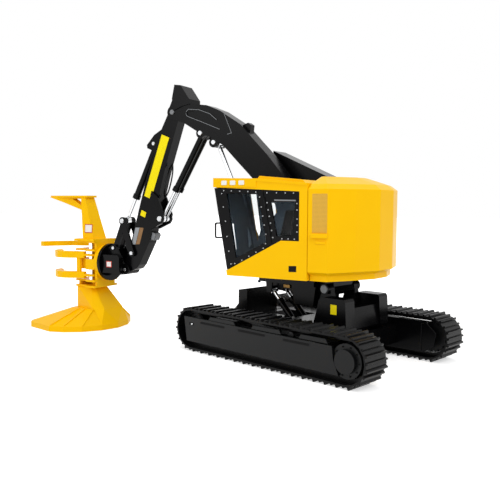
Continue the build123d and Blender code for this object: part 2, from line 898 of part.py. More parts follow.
# Boom: a gooseneck box in its own frame, u along foot pin to stick pin and v above that line
with BuildPart() as boom:
    with BuildSketch(arm_side(foot_pin, boom_angle, boom_width / 2)):
        with BuildLine():
            Polyline(
                (0, -5.5),
                (30, -4.0),
                (boom_reach - 77.3, 0.3),
                (boom_reach - 61.3, 2.6),
                (boom_reach - 48.8, 4.6),
                (boom_reach - 37.3, 3.6),
                (boom_reach - 23.8, 0.4),
                (boom_reach - 12.9, -0.7),
                (boom_reach - 2, -4.2),
                (boom_reach + 3.4, -2.4),
                (boom_reach + 5.2, 7.6),
                (boom_reach - 9, 12.5),
                (boom_reach - 21.6, 19.1),
                (boom_reach - 32.2, 21.8),
                (boom_reach - 51.5, 23.2),
                (boom_reach - 66.6, 20.6),
                (boom_reach - 79.7, 18.5),
                (20, 10),
                (0, 5.5),
                close=True,
            )
        make_face()
        Circle(5.5)
        with Locations((boom_reach, 0)):
            Circle(4.4)
    extrude(amount=boom_width)
    with BuildSketch(arm_side(foot_pin, boom_angle, boom_width / 2 + 0.8)):
        with BuildLine():
            Polyline(
                (boom_reach - 0.8, 1.8),
                (boom_reach + 5.2, 7.6),
                (boom_reach + 9, 16.5),
                (boom_reach + 4.2, 19),
                (boom_reach - 7.3, 15.2),
                (boom_reach - 9.2, 12.2),
                (boom_reach - 5, 8),
                close=True,
            )
        make_face()
    extrude(amount=boom_width + 1.6)
    # a shallow recess on each side, and the small lug on the top plate
    for y in (boom_width / 2, -boom_width / 2 + recess_depth):
        with BuildSketch(arm_side(foot_pin, boom_angle, y)):
            with BuildLine():
                Polyline(
                    (boom_reach - 10.3, 6.4),
                    (boom_reach - 12.5, 5.3),
                    (boom_reach - 39.1, 11.9),
                    (boom_reach - 39.9, 14.0),
                    (boom_reach - 37.3, 19.0),
                    (boom_reach - 34.9, 19.4),
                    (boom_reach - 19.9, 14.8),
                    close=True,
                )
            make_face()
        extrude(amount=recess_depth, mode=Mode.SUBTRACT)
    with BuildSketch(arm_side(foot_pin, boom_angle, top_lug_width / 2)):
        with BuildLine():
            Polyline(
                (boom_reach - 59.8, 21),
                (boom_reach - 56.7, 26.4),
                (boom_reach - 54.1, 26.4),
                (boom_reach - 51.3, 22.6),
                close=True,
            )
        make_face()
    extrude(amount=top_lug_width)
    # lugs of the lift cylinder and of the stick cylinders
    with BuildSketch(arm_side(foot_pin, boom_angle, boom_width / 2)):
        with Locations(lift_lug, cylinder_lug):
            Circle(3.5)
    extrude(amount=boom_width)
    with BuildSketch(arm_side(foot_pin, boom_angle, lift_eye_width / 2 + side_gap)):
        with Locations(lift_lug):
            Circle(8.4)
    extrude(amount=lift_eye_width + 2 * side_gap, mode=Mode.SUBTRACT)
    with BuildSketch(arm_side(foot_pin, boom_angle, 4.75)):
        with Locations(cylinder_lug):
            Circle(3.9)
    extrude(amount=9.5, mode=Mode.SUBTRACT)
    # fork for the stick's head, and the foot's bore
    with BuildSketch(arm_side(foot_pin, boom_angle, fork_slot / 2)):
        with Locations((boom_reach, 0)):
            Circle(fork_room)
        with Locations((boom_reach + 3, -6)):
            Rectangle(14, 10)
    extrude(amount=fork_slot, mode=Mode.SUBTRACT)
    with BuildSketch(arm_side(foot_pin, boom_angle, boom_width)):
        Circle(pin_radius + fit)
    extrude(amount=2 * boom_width, mode=Mode.SUBTRACT)
    with BuildSketch(arm_side(foot_pin, boom_angle, boom_width / 2 + 0.5)):
        with Locations(cylinder_lug, (boom_reach, 0)):
            Circle(pin_radius)
    extrude(amount=boom_width + 1)
save(boom, "boom")

make_barrel("lift_barrel", lift_low_pin, lift_top_pin, (0,), 3.6, lift_shown, 1.6, 3.2, lift_eye_width)
make_rod("lift_rod", lift_low_pin, lift_top_pin, (0,), 1.52, lift_shown, 19.0, 3.0, lift_eye_width)

# Stick: a tapered box with a rear lug plate for its cylinders and a front ear for the head's cylinder
with BuildPart() as stick:
    with BuildSketch(arm_side(stick_pin, stick_angle, stick_width / 2)):
        with BuildLine():
            Polyline(
                (0, 4.2),
                (14, 6.2),
                (50, 6.8),
                (stick_reach - 35.2, 4.4),
                (stick_reach - 17.2, 3.2),
                (stick_reach, 3.4),
                (stick_reach, -3.6),
                (stick_reach - 4, -8.2),
                (stick_reach - 8, -9.8),
                (stick_reach - 27.2, -12.4),
                (stick_reach - 37.2, -11.2),
                (60, -8.6),
                (39, -6.7),
                (4, -5.6),
                (0, -4.2),
                close=True,
            )
        make_face()
        Circle(4.2)
        with Locations((stick_reach, 0)):
            Circle(3.8)
    extrude(amount=stick_width)
    for y in (stick_width / 2 + 1.5, -stick_width / 2):
        with BuildSketch(arm_side(stick_pin, stick_angle, y)):
            with BuildLine():
                Polyline(
                    (58, -2),
                    (60, -8.6),
                    (70, -18.2),
                    (76.5, -18.8),
                    (84, -11.2),
                    (86, -4),
                    close=True,
                )
            make_face()
            with Locations(stick_lug):
                Circle(3.4)
        extrude(amount=1.5)
    for y in (stick_width / 2, -stick_width / 2 + 1.6):
        with BuildSketch(arm_side(stick_pin, stick_angle, y)):
            with BuildLine():
                Polyline((13, 5), (20, 11), (29, 14.8), (31, 13.5), (31, 5), close=True)
            make_face()
        extrude(amount=1.6)
    with BuildSketch(arm_side(stick_pin, stick_angle, stick_width / 2 + 0.4)):
        with Locations(head_ear):
            Circle(pin_radius)
    extrude(amount=stick_width + 0.8)
    with BuildSketch(arm_side(stick_pin, stick_angle, stick_width)):
        with Locations((0, 0), (stick_reach, 0)):
            Circle(pin_radius + fit)
    extrude(amount=2 * stick_width, mode=Mode.SUBTRACT)
    # pocket under the head cylinder's foot
    with BuildSketch(arm_side(stick_pin, stick_angle, stick_width / 2 - 1.6)):
        with Locations(head_ear):
            Circle(3.4)
    extrude(amount=stick_width - 3.2, mode=Mode.SUBTRACT)
    with BuildSketch(arm_side(stick_pin, stick_angle, stick_width / 2 - 1)):
        with Locations(head_ear):
            Circle(pin_radius)
    extrude(amount=stick_width - 2)
    with BuildSketch(arm_side(stick_pin, stick_angle, stick_width / 2 + 2.2)):
        with Locations(idler_lug):
            Circle(pin_radius)
    extrude(amount=stick_width + 4.4)
save(stick, "stick")

stick_ys = (stick_cyl_y, -stick_cyl_y)
make_barrel("stick_barrels", stick_cyl_pin, stick_lug_pin, stick_ys, 2.1, stick_shown, 1.2, 2.6, 4.0)
make_rod("stick_rods", stick_cyl_pin, stick_lug_pin, stick_ys, 1.12, stick_shown, 22.0, 2.5, 3.2)
make_barrel("head_barrel", head_cyl_pin, rod_pin, (0,), 2.4, head_shown, 1.3, 2.6, 4.0)
make_rod("head_rod", head_cyl_pin, rod_pin, (0,), 1.22, head_shown, 22.0, 2.6, 3.6)


# Head linkage: the idler links from the stick and the head links from the wrist meet at the rod's pin
def make_links(name, low, high, inner_y, thickness, low_eye, high_eye, stub):
    a = atan2(high[1] - low[1], high[0] - low[0])
    reach = hypot(high[0] - low[0], high[1] - low[1])
    with BuildPart() as links:
        for sign in (1, -1):
            face = inner_y + thickness if sign > 0 else -inner_y
            with BuildSketch(arm_side(low, degrees(a), face)):
                with BuildLine():
                    Polyline(
                        (0, low_eye * 0.9),
                        (reach, high_eye * 0.8),
                        (reach, -high_eye * 0.8),
                        (0, -low_eye * 0.9),
                        close=True,
                    )
                make_face()
                Circle(low_eye)
                with Locations((reach, 0)):
                    Circle(high_eye)
                if stub:
                    Circle(pin_radius + fit, mode=Mode.SUBTRACT)
                else:
                    with Locations((reach, 0)):
                        Circle(pin_radius + fit, mode=Mode.SUBTRACT)
            extrude(amount=thickness)
            if stub:
                top = inner_y + thickness + 0.4 if sign > 0 else stub - inner_y
                with BuildSketch(arm_side(high, 0, top)):
                    Circle(pin_radius)
                extrude(amount=thickness + 0.4 + stub)
    save(links, name)


link_gap = 2.3
link_width = 1.9
idler_inner = stick_width / 2 + side_gap
make_links("idler_links", idler_pin, rod_pin, idler_inner, 1.6, 2.6, 3.0, idler_inner - link_gap)
make_links("head_links", head_link_pin, rod_pin, link_gap, link_width, 2.6, 2.7, 0)

# Wrist: the hanger block on the stick's end, with the turning disc behind the head
wrist_z = head_pin[1] + 4.3
wrist_height = 50.5237
head_base = wrist_z - wrist_height
wrist_x = head_pin[0] + 18.3
wrist_radius = 14.2
hanger_half = 11.5
with BuildPart() as wrist:
    with BuildSketch(side(hanger_half)):
        with BuildLine():
            Polyline(
                (wrist_x - 17, wrist_z - 7.2),
                (wrist_x, wrist_z - 7.2),
                (wrist_x, wrist_z + 6.4),
                (wrist_x - 15.5, wrist_z + 6.4),
                (wrist_x - 17, wrist_z + 4.4),
                close=True,
            )
        make_face()
    extrude(amount=2 * hanger_half)
    with BuildSketch(side(idler_inner + 2.4)):
        with BuildLine():
            Polyline(
                (wrist_x - 30, wrist_z - 12),
                (wrist_x - 8, wrist_z - 12),
                (wrist_x - 8, wrist_z + 12),
                (wrist_x - 30, wrist_z + 12),
                close=True,
            )
        make_face()
    extrude(amount=2 * (idler_inner + 2.4), mode=Mode.SUBTRACT)
    for y in (idler_inner + 1.6, -idler_inner):
        with BuildSketch(side(y)):
            with BuildLine():
                Polyline(
                    (head_pin[0], head_pin[1] - 3.8),
                    (wrist_x, wrist_z - 10),
                    (wrist_x, wrist_z + 10),
                    (head_link_pin[0] + 1.5, head_link_pin[1] + 2.2),
                    (head_link_pin[0] - 2, head_link_pin[1] + 2.0),
                    (head_pin[0] + 2, head_pin[1] + 4.5),
                    (head_pin[0], head_pin[1] + 3.8),
                    close=True,
                )
            make_face()
            with Locations(head_pin):
                Circle(3.8)
            with Locations(head_link_pin):
                Circle(2.6)
        extrude(amount=1.6)
    # room for the head links' eyes between the ears
    with BuildSketch(side(idler_inner)):
        with Locations(head_link_pin):
            Circle(6.2)
    extrude(amount=2 * idler_inner, mode=Mode.SUBTRACT)
    with BuildSketch(side(idler_inner + 2.4)):
        with Locations(head_pin):
            Circle(pin_radius)
    extrude(amount=2 * (idler_inner + 2.4))
    for y in (idler_inner + 2.2, -idler_inner):
        with BuildSketch(side(y)):
            with Locations(head_link_pin):
                Circle(pin_radius)
        extrude(amount=2.2)
    with BuildSketch(Plane(origin=(wrist_x, 0, wrist_z), x_dir=(0, 1, 0), z_dir=(1, 0, 0))):
        Circle(wrist_radius)
    extrude(amount=2.4)
    with BuildSketch(Plane(origin=(wrist_x + 2.4, 0, wrist_z), x_dir=(0, 1, 0), z_dir=(1, 0, 0))):
        Circle(6)
    extrude(amount=5)
save(wrist, "wrist")

# Felling head: it turns on the wrist about X; a column with two collars, a mast with a claw, and the saw's housing
head_back = wrist_x + 2.8
plate_back = head_back + 3.7
column_back = plate_back + 1.8
column_front = column_back + 20.7
collar_half = 9.2
knuckle_half = 12.6
arm_pin = (column_back + 3.6, 10.0)
arm_pin_radius = 1.75
arm_knuckle = 3.1
skirt_top = 31.0
skirt_bottom = 15.0
lower_collar = (31.0, 37.0)
centre_block = (45.0, 53.0)
upper_collar = (59.0, 68.0)
plate_step = 1.5
mast_top = 100.0
claw_tip = column_back + 56.1
gather_levels = ((38.0, 43.0), (53.5, 58.5))
hold_level = (60.8, 64.6)


def level(z):
    return Plane.XY.offset(head_base + z)


def head_side(y):
    return Plane(origin=(0, y, head_base), x_dir=(1, 0, 0), z_dir=(0, -1, 0))


def collar_outline(front, half):
    return [
        (plate_back, half + 3.4),
        (arm_pin[0] + 3.4, half + 3.4),
        (arm_pin[0] + 6, half),
        (front, half),
        (front, -half),
        (arm_pin[0] + 6, -half),
        (arm_pin[0] + 3.4, -half - 3.4),
        (plate_back, -half - 3.4),
    ]


def box_outline(centre, length, width):
    rows = ((-1, 1), (1, 1), (1, -1), (-1, -1))
    return [(centre + u * length / 2, v * width / 2) for u, v in rows]


def mirrored(half):
    return half + [(x, -y) for x, y in reversed(half)]


with BuildPart() as head_frame:
    with BuildSketch(Plane(origin=(head_back, 0, wrist_z), x_dir=(0, 1, 0), z_dir=(1, 0, 0))):
        Circle(13.0)
    extrude(amount=plate_back - head_back + 0.5)
    with BuildSketch(head_side(collar_half + 0.8)):
        with BuildLine():
            Polyline(
                (plate_back, lower_collar[0]),
                (column_back, lower_collar[0]),
                (column_back, upper_collar[1]),
                (plate_back, upper_collar[1]),
                close=True,
            )
        make_face()
    extrude(amount=2 * (collar_half + 0.8))
    # core between the two arm pins
    with BuildSketch(level(lower_collar[0])):
        with BuildLine():
            Polyline(
                (column_back - 1, 5.6),
                (column_back + 7, 5.6),
                (column_back + 7, -5.6),
                (column_back - 1, -5.6),
                close=True,
            )
        make_face()
    extrude(amount=upper_collar[1] - lower_collar[0])
    # collar plates and the centre block
    for low, high, front, half in (
        (lower_collar[0], lower_collar[0] + plate_step, column_front, collar_half),
        (lower_collar[1] - plate_step, lower_collar[1], column_front, collar_half),
        (centre_block[0], centre_block[1], column_front - 2, collar_half),
        (upper_collar[0], upper_collar[0] + plate_step, column_front, collar_half),
        (upper_collar[1] - 2.8, upper_collar[1] - plate_step, column_front - 1.5, collar_half - 0.6),
        (upper_collar[1] - plate_step, upper_collar[1], column_front + 1.0, collar_half + 0.4),
    ):
        with BuildSketch(level(low)):
            with BuildLine():
                Polyline(*collar_outline(front, half), close=True)
            make_face()
        extrude(amount=high - low)
    with BuildSketch(level(lower_collar[0] + 1)):
        with Locations((column_front - 2, 0)):
            Rectangle(2.4, 2 * collar_half - 5)
    extrude(amount=lower_collar[1] - lower_collar[0] - 2)
    # mast and claw
    mast_foot = box_outline(column_back + 9.4, 11.4, 14)
    mast_head = box_outline(column_back + 16.3, 4.2, 10)
    foot_z = head_base + upper_collar[1] - 0.5
    add(stack([at_height(mast_foot, foot_z), at_height(mast_head, head_base + mast_top)]))
    with BuildSketch(level(mast_top - 0.2)):
        with BuildLine():
            Polyline(
                (column_back + 12, 5.4),
                (column_back + 26, 6.2),
                (claw_tip - 2, 1.6),
                (claw_tip, 0.6),
                (claw_tip, -0.6),
                (claw_tip - 2, -1.6),
                (column_back + 26, -6.2),
                (column_back + 12, -5.4),
                close=True,
            )
        make_face()
    extrude(amount=1.4)
    with BuildSketch(head_side(2.6)):
        with BuildLine():
            Polyline(
                (column_back + 14, mast_top),
                (claw_tip - 1, mast_top),
                (column_back + 38, mast_top - 4.6),
                (column_back + 15.4, mast_top - 11.4),
                close=True,
            )
        make_face()
        with BuildLine():
            Polyline(
                (column_back + 19.5, mast_top - 1.2),
                (column_back + 30, mast_top - 1.2),
                (column_back + 21, mast_top - 6.4),
                close=True,
            )
        make_face(mode=Mode.SUBTRACT)
    extrude(amount=5.2)
    # skirt below the column
    skirt_low = mirrored([(column_back - 9.2, 10), (column_back - 2, 14.4), (column_front - 0.6, 8.4)])
    skirt_high = mirrored([(column_back + 4.4, 6.0), (column_back + 6.0, 8.0), (column_back + 20.4, 8.0)])
    low_z = head_base + skirt_bottom
    add(stack([at_height(skirt_low, low_z), at_height(skirt_high, head_base + skirt_top + 0.5)]))
    # bore of the turning joint, and the bores of the arm pins
    with BuildSketch(Plane(origin=(head_back - 1, 0, wrist_z), x_dir=(0, 1, 0), z_dir=(1, 0, 0))):
        Circle(6 + fit)
    extrude(amount=5.9, mode=Mode.SUBTRACT)
    with BuildSketch(level(lower_collar[1] - plate_step)):
        with Locations(arm_pin, (arm_pin[0], -arm_pin[1])):
            Circle(arm_pin_radius + fit)
    extrude(amount=upper_collar[1] - plate_step - lower_collar[1] + plate_step, mode=Mode.SUBTRACT)
save(head_frame, "head_frame")

with BuildPart() as arm_pins:
    with BuildSketch(level(lower_collar[1] - plate_step + fit)):
        with Locations(arm_pin, (arm_pin[0], -arm_pin[1])):
            Circle(arm_pin_radius)
    extrude(amount=upper_collar[1] - lower_collar[1] - 2 * fit)
save(arm_pins, "arm_pins")

# Arms: the left one gathers with two curved fingers, the right one holds above them
throat = (column_back + 26.6, 0.0)
finger_outer = 18.2
finger_inner = 12.8
finger_angles = (128, 110, 92, 74, 56, 38, 20, 4)


def finger_outline():
    points = [(arm_pin[0] + 5.4, arm_pin[1] + 2.6)]
    for angle in finger_angles:
        points.append(polar(throat, finger_outer, angle))
    for angle in reversed(finger_angles[:-1]):
        points.append(polar(throat, finger_inner, angle))
    points.append((arm_pin[0] + 5.4, arm_pin[1] - 0.2))
    return points


with BuildPart() as gather_arm:
    for low, high in gather_levels:
        with BuildSketch(level(low)):
            with BuildLine():
                Polyline(*finger_outline(), close=True)
            make_face()
        extrude(amount=high - low)
        # the thin eye around the pin and its web to the finger
        with BuildSketch(level((low + high) / 2 - 0.8)):
            with Locations(arm_pin):
                Circle(arm_knuckle)
            with BuildLine():
                Polyline(
                    (arm_pin[0], arm_pin[1] - 2.0),
                    (arm_pin[0] + 7, arm_pin[1] - 0.2),
                    (arm_pin[0] + 7, arm_pin[1] + 2.6),
                    (arm_pin[0], arm_pin[1] + 3.0),
                    close=True,
                )
            make_face()
        extrude(amount=1.6)
    # the bar that joins both fingers outside the centre block
    with BuildSketch(level(gather_levels[0][0] + 0.5)):
        with Locations((arm_pin[0] + 10.5, collar_half + 3.0)):
            Rectangle(3.4, 2.0)
    extrude(amount=gather_levels[1][1] - gather_levels[0][0] - 1)
    with BuildSketch(level(gather_levels[0][0] - 1)):
        with Locations(arm_pin):
            Circle(arm_pin_radius + fit)
    extrude(amount=gather_levels[1][1] - gather_levels[0][0] + 2, mode=Mode.SUBTRACT)
save(gather_arm, "gather_arm")

with BuildPart() as hold_arm:
    with BuildSketch(level(hold_level[0])):
        with BuildLine():
            Polyline(
                (arm_pin[0] + 2, -arm_pin[1] - 2.8),
                (arm_pin[0] + 14, -18.0),
                (arm_pin[0] + 28, -19.5),
                (arm_pin[0] + 42, -13.0),
                (arm_pin[0] + 52, 0.0),
                (arm_pin[0] + 55, 9.5),
                (arm_pin[0] + 50.5, 10.5),
                (arm_pin[0] + 47, 2.0),
                (arm_pin[0] + 38.5, -8.5),
                (arm_pin[0] + 26, -13.8),
                (arm_pin[0] + 12, -12.2),
                (arm_pin[0] + 2, -arm_pin[1] + 2.4),
                close=True,
            )
        make_face()
        with Locations((arm_pin[0], -arm_pin[1])):
            Circle(arm_knuckle)
            Circle(arm_pin_radius + fit, mode=Mode.SUBTRACT)
    extrude(amount=hold_level[1] - hold_level[0])
save(hold_arm, "hold_arm")

# Saw housing: a horseshoe hood, high at the column and low at the two horns; the disc turns inside it
saw_x = column_back + 17.64
saw_radius = 26.0
saw_z = 1.4
saw_thickness = 1.6
rib_width = 1.0
rib_rise = 1.1
pocket_radius = 27.4
pocket_top = 5.4
spindle_radius = 3.0
rim_top = 4.0
housing_rows = [
    # forward of the saw's centre and to its side: first at the rim, then at the skirt
    (-31.5, 0.0, -23.5, 0.0),
    (-28.4, 14.8, -22.5, 7.0),
    (-20.2, 27.2, -19.5, 13.6),
    (-9.0, 35.0, -12.0, 14.8),
    (2.0, 38.2, -6.0, 14.6),
    (29.0, 31.4, 1.0, 13.6),
    (33.5, 26.6, 3.4, 12.6),
    (17.0, 15.4, 3.8, 9.0),
    (10.0, 8.4, 3.9, 4.6),
    (8.0, 0.0, 4.0, 0.0),
]


def housing_outline(first):
    half = [(saw_x + row[first], row[first + 1]) for row in housing_rows]
    return half + [(x, -y) for x, y in reversed(half[1:-1])]


with BuildPart() as saw_housing:
    rim_outline = housing_outline(0)
    skirt_outline = housing_outline(2)
    rings = ((rim_outline, 0.0), (rim_outline, rim_top), (skirt_outline, skirt_bottom - fit))
    add(stack([at_height(outline, head_base + z) for outline, z in rings]))
    # ribs that run down from the skirt to the rim
    for x0, y0, x1, y1 in housing_rows[1:5]:
        for sign in (1, -1):
            reach = hypot(x0 - x1, y0 - y1)
            run = Vector((x0 - x1) / reach, sign * (y0 - y1) / reach, 0)
            across = Vector(-run.Y, run.X, 0)
            origin = Vector(saw_x + x1, sign * y1, head_base) + across * (rib_width / 2)
            with BuildSketch(Plane(origin=origin, x_dir=run, z_dir=across * -1)):
                with BuildLine():
                    Polyline(
                        (-0.8, skirt_bottom - 3),
                        (-0.8, skirt_bottom - fit),
                        (rib_rise * 1.6, skirt_bottom - fit),
                        (reach - 0.6, rim_top + rib_rise),
                        (reach - 0.6, rim_top - 1),
                        close=True,
                    )
                make_face()
            extrude(amount=rib_width)
    with BuildSketch(level(0)):
        with Locations((saw_x, 0)):
            RegularPolygon(pocket_radius, wheel_flats)
    extrude(amount=pocket_top, mode=Mode.SUBTRACT)
    with BuildSketch(level(0)):
        with Locations((saw_x, 0)):
            Circle(spindle_radius + fit)
    extrude(amount=pocket_top + 4, mode=Mode.SUBTRACT)
save(saw_housing, "saw_housing")

with BuildPart() as saw_disc:
    with BuildSketch(level(saw_z)):
        with Locations((saw_x, 0)):
            Circle(saw_radius - 1.6)
            with PolarLocations(saw_radius - 1.4, 18):
                Rectangle(2.6, 3.2)
    extrude(amount=saw_thickness)
    with BuildSketch(level(saw_z - 0.6)):
        with Locations((saw_x, 0)):
            Circle(7)
    extrude(amount=0.8)
    with BuildSketch(level(saw_z)):
        with Locations((saw_x, 0)):
            Circle(spindle_radius)
    extrude(amount=pocket_top - saw_z + 3.5)
save(saw_disc, "saw_disc")
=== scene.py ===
# %% [markdown]
# A die-cast scale model of a tracked feller buncher, dressed for a product photo.
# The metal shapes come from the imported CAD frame. This lesson gives them their finishes and adds
# the small things that a model maker glues or prints on: screws, grilles, labels, hoses and trim.

# %% Load the frame
import math
import bpy
import bmesh
from mathutils import Matrix, Vector


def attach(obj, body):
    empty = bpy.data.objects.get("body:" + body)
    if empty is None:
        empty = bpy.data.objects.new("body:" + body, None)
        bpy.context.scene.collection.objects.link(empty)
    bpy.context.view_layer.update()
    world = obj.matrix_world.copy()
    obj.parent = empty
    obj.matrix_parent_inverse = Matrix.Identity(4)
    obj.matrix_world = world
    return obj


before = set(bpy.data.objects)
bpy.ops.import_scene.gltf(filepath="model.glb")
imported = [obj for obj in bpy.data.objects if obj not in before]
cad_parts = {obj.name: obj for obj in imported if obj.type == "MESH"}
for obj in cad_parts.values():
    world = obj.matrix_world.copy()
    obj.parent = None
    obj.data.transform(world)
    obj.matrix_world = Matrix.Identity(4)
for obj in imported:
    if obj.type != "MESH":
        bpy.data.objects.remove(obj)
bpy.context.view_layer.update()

# %% [markdown]
# Colours are written as sRGB hex, the way paint charts give them. Shaders work in linear light,
# so one function turns each hex value into linear numbers.

# %% Colour and millimetres
MM = 0.001


def paint(hex_code):
    channels = [int(hex_code[i:i + 2], 16) / 255 for i in (0, 2, 4)]
    linear = [c / 12.92 if c <= 0.04045 else ((c + 0.055) / 1.055) ** 2.4 for c in channels]
    return (*linear, 1.0)


print("enamel yellow in linear light:", [round(c, 3) for c in paint("FEC703")])

# %% [markdown]
# A material is a small graph of nodes. One function adds a node, gives it its settings and wires
# its inputs, so that each material below reads as a short list of what it is made of.

# %% Node helper
def add_node(tree, kind, settings=None, **inputs):
    # an input goes by its name, with _ for a space, or by its number, as in i0
    node = tree.nodes.new(kind)
    for key, value in (settings or {}).items():
        setattr(node, key, value)
    for key, value in inputs.items():
        by_number = key[0] == "i" and key[1:].isdigit()
        socket = node.inputs[int(key[1:]) if by_number else key.replace("_", " ")]
        if isinstance(value, bpy.types.NodeSocket):
            tree.links.new(value, socket)
        else:
            socket.default_value = value
    return node


def new_material(name):
    material = bpy.data.materials.new(name)
    material.use_nodes = True
    tree = material.node_tree
    shader = tree.nodes["Principled BSDF"]
    coords = add_node(tree, "ShaderNodeTexCoord")
    return material, tree, shader, coords.outputs["Object"]


def mix_colours(tree, factor, first, second):
    mix = add_node(tree, "ShaderNodeMix", {"data_type": "RGBA"}, Factor=factor)
    mix.inputs["A"].default_value = paint(first)
    mix.inputs["B"].default_value = paint(second)
    return mix.outputs["Result"]


def per_metre(size_mm):
    return 1.0 / (size_mm * MM)


print("helpers ready: add_node, new_material, mix_colours, per_metre")

# %% [markdown]
# The yellow is a sprayed and baked enamel over die-cast zinc. It is glossy, and very close up it has
# the faint dimpling that painters call orange peel. The film is a little deeper where it pools.

# %% Sprayed enamel
def sprayed_enamel(name, base, deep, roughness, peel_mm, peel_depth_mm, blotch_mm=14.0, sheen=0.15):
    material, tree, shader, place = new_material(name)
    blotch = add_node(tree, "ShaderNodeTexNoise", Vector=place, Scale=per_metre(blotch_mm), Detail=3.0)
    colour = mix_colours(tree, blotch.outputs["Fac"], base, deep)
    peel = add_node(tree, "ShaderNodeTexNoise", Vector=place, Scale=per_metre(peel_mm), Detail=1.0)
    bump = add_node(
        tree, "ShaderNodeBump", Height=peel.outputs["Fac"], Distance=peel_depth_mm * MM, Strength=0.35
    )
    spread = add_node(
        tree,
        "ShaderNodeMapRange",
        Value=blotch.outputs["Fac"],
        To_Min=roughness * 0.85,
        To_Max=roughness * 1.2,
    )
    tree.links.new(colour, shader.inputs["Base Color"])
    tree.links.new(bump.outputs["Normal"], shader.inputs["Normal"])
    tree.links.new(spread.outputs["Result"], shader.inputs["Roughness"])
    shader.inputs["IOR"].default_value = 1.5
    shader.inputs["Specular IOR Level"].default_value = sheen
    return material


yellow_enamel = sprayed_enamel("sprayed_yellow_enamel", "FEC703", "FCC001", 0.30, 1.1, 0.02, sheen=0.07)
black_enamel = sprayed_enamel("sprayed_black_enamel", "040405", "070708", 0.22, 0.9, 0.015, sheen=0.11)
print("enamels:", yellow_enamel.name, black_enamel.name)

# %% [markdown]
# The tracks are dipped in a duller black with a faint grey mottle. The outer guard plates are the
# same black, matt enough to look dark grey under a studio lamp.

# %% Dipped track black and guard plate black
track_black = sprayed_enamel("dipped_track_black", "050506", "0A0A0B", 0.30, 0.7, 0.02, 5.0, sheen=0.16)
guard_black = sprayed_enamel("matt_guard_black", "08090A", "0C0D0E", 0.40, 0.6, 0.02, 9.0, sheen=0.22)
print("track finishes:", track_black.name, guard_black.name)

# %% [markdown]
# Cylinder rods and pins are plated or bare bright metal, drawn through a die. The drawing leaves
# fine lines along the rod, too fine to see here, so they show as a soft change of gloss.

# %% Bright metals
def bright_metal(name, base, roughness, grain_mm):
    material, tree, shader, place = new_material(name)
    grain = add_node(tree, "ShaderNodeTexNoise", Vector=place, Scale=per_metre(grain_mm), Detail=4.0)
    spread = add_node(
        tree,
        "ShaderNodeMapRange",
        Value=grain.outputs["Fac"],
        To_Min=roughness * 0.7,
        To_Max=roughness * 1.4,
    )
    tree.links.new(spread.outputs["Result"], shader.inputs["Roughness"])
    shader.inputs["Base Color"].default_value = paint(base)
    shader.inputs["Metallic"].default_value = 1.0
    return material


chrome_plate = bright_metal("drawn_chrome_plate", "D9DBDD", 0.12, 1.5)
turned_steel = bright_metal("turned_bare_steel", "C4C6C8", 0.28, 1.0)
cast_zinc = bright_metal("tumbled_bare_zinc", "6E7072", 0.45, 1.2)
brass = bright_metal("turned_brass", "8A6A3C", 0.35, 0.8)
print("metals:", chrome_plate.name, turned_steel.name, cast_zinc.name, brass.name)

# %% [markdown]
# The windows are thin, clear moulded acrylic. Real acrylic has an IOR of 1.49, but a lower one keeps
# the panes from bending and darkening the little that shows behind them. The seat is moulded ABS
# with a fine spark-eroded grain, and the lamps are glossy white caps.

# %% Acrylic, ABS and lamp caps
PANE_IOR = 1.15
RIPPLE_MM, RIPPLE_DEPTH_MM = 9.0, 0.03


def moulded_acrylic(name, tint):
    material, tree, shader, place = new_material(name)
    ripple = add_node(tree, "ShaderNodeTexNoise", Vector=place, Scale=per_metre(RIPPLE_MM), Detail=1.0)
    bump = add_node(
        tree, "ShaderNodeBump", Height=ripple.outputs["Fac"], Distance=RIPPLE_DEPTH_MM * MM, Strength=0.2
    )
    tree.links.new(bump.outputs["Normal"], shader.inputs["Normal"])
    shader.inputs["Base Color"].default_value = paint(tint)
    shader.inputs["Transmission Weight"].default_value = 1.0
    shader.inputs["Specular IOR Level"].default_value = 0.3
    shader.inputs["Roughness"].default_value = 0.0
    shader.inputs["IOR"].default_value = PANE_IOR
    return material


clear_acrylic = moulded_acrylic("clear_moulded_acrylic", "FBFDFD")
seat_abs = sprayed_enamel("moulded_black_abs", "141415", "1B1B1C", 0.6, 0.5, 0.05, 6.0)
lamp_cap = sprayed_enamel("moulded_white_lamp_cap", "F4F4F0", "E9E9E4", 0.2, 1.0, 0.02, 4.0)
cab_lining = sprayed_enamel("blue_black_cab_lining", "2C3B48", "4A5C6C", 0.5, 1.4, 0.03, 12.0)
print("plastics:", clear_acrylic.name, seat_abs.name, lamp_cap.name, cab_lining.name)

# %% [markdown]
# Each CAD node gets one finish. What the table doesn't name is sprayed black.

# %% Give each CAD node its finish
finish_of = {
    yellow_enamel: [
        "engine_hood", "cab", "side_tank", "head_frame", "saw_housing", "gather_arm", "hold_arm",
    ],
    track_black: ["track_left", "track_right", "idler_left", "idler_right"],
    guard_black: ["track_frame_left", "track_frame_right", "final_drive_left", "final_drive_right"],
    chrome_plate: ["level_rods", "lift_rod", "stick_rods", "head_rod", "arm_pins"],
    clear_acrylic: ["door_glass", "cab_glass"],
    seat_abs: ["seat"],
    lamp_cap: ["work_lamps"],
    turned_steel: ["saw_disc"],
}
material_of_node = {node: material for material, nodes in finish_of.items() for node in nodes}
for name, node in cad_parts.items():
    material = material_of_node.get(name, black_enamel)
    node.data.materials.clear()
    node.data.materials.append(material)
print("dressed", len(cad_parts), "nodes")

# %% [markdown]
# The cab is one casting in body colour, but its inside was masked and sprayed blue-black. The faces
# that lie inside its walls get that second finish.

# %% Cab lining
# sizes of the CAD's house, in mm: X forward, Y to the left, Z up
HOUSE_SIDE = 46.0
CAB_INNER_SIDE = 11.5
CAB_BACK = -15.4
CAB_FRONT = 37.4
DECK_Z = 52.5
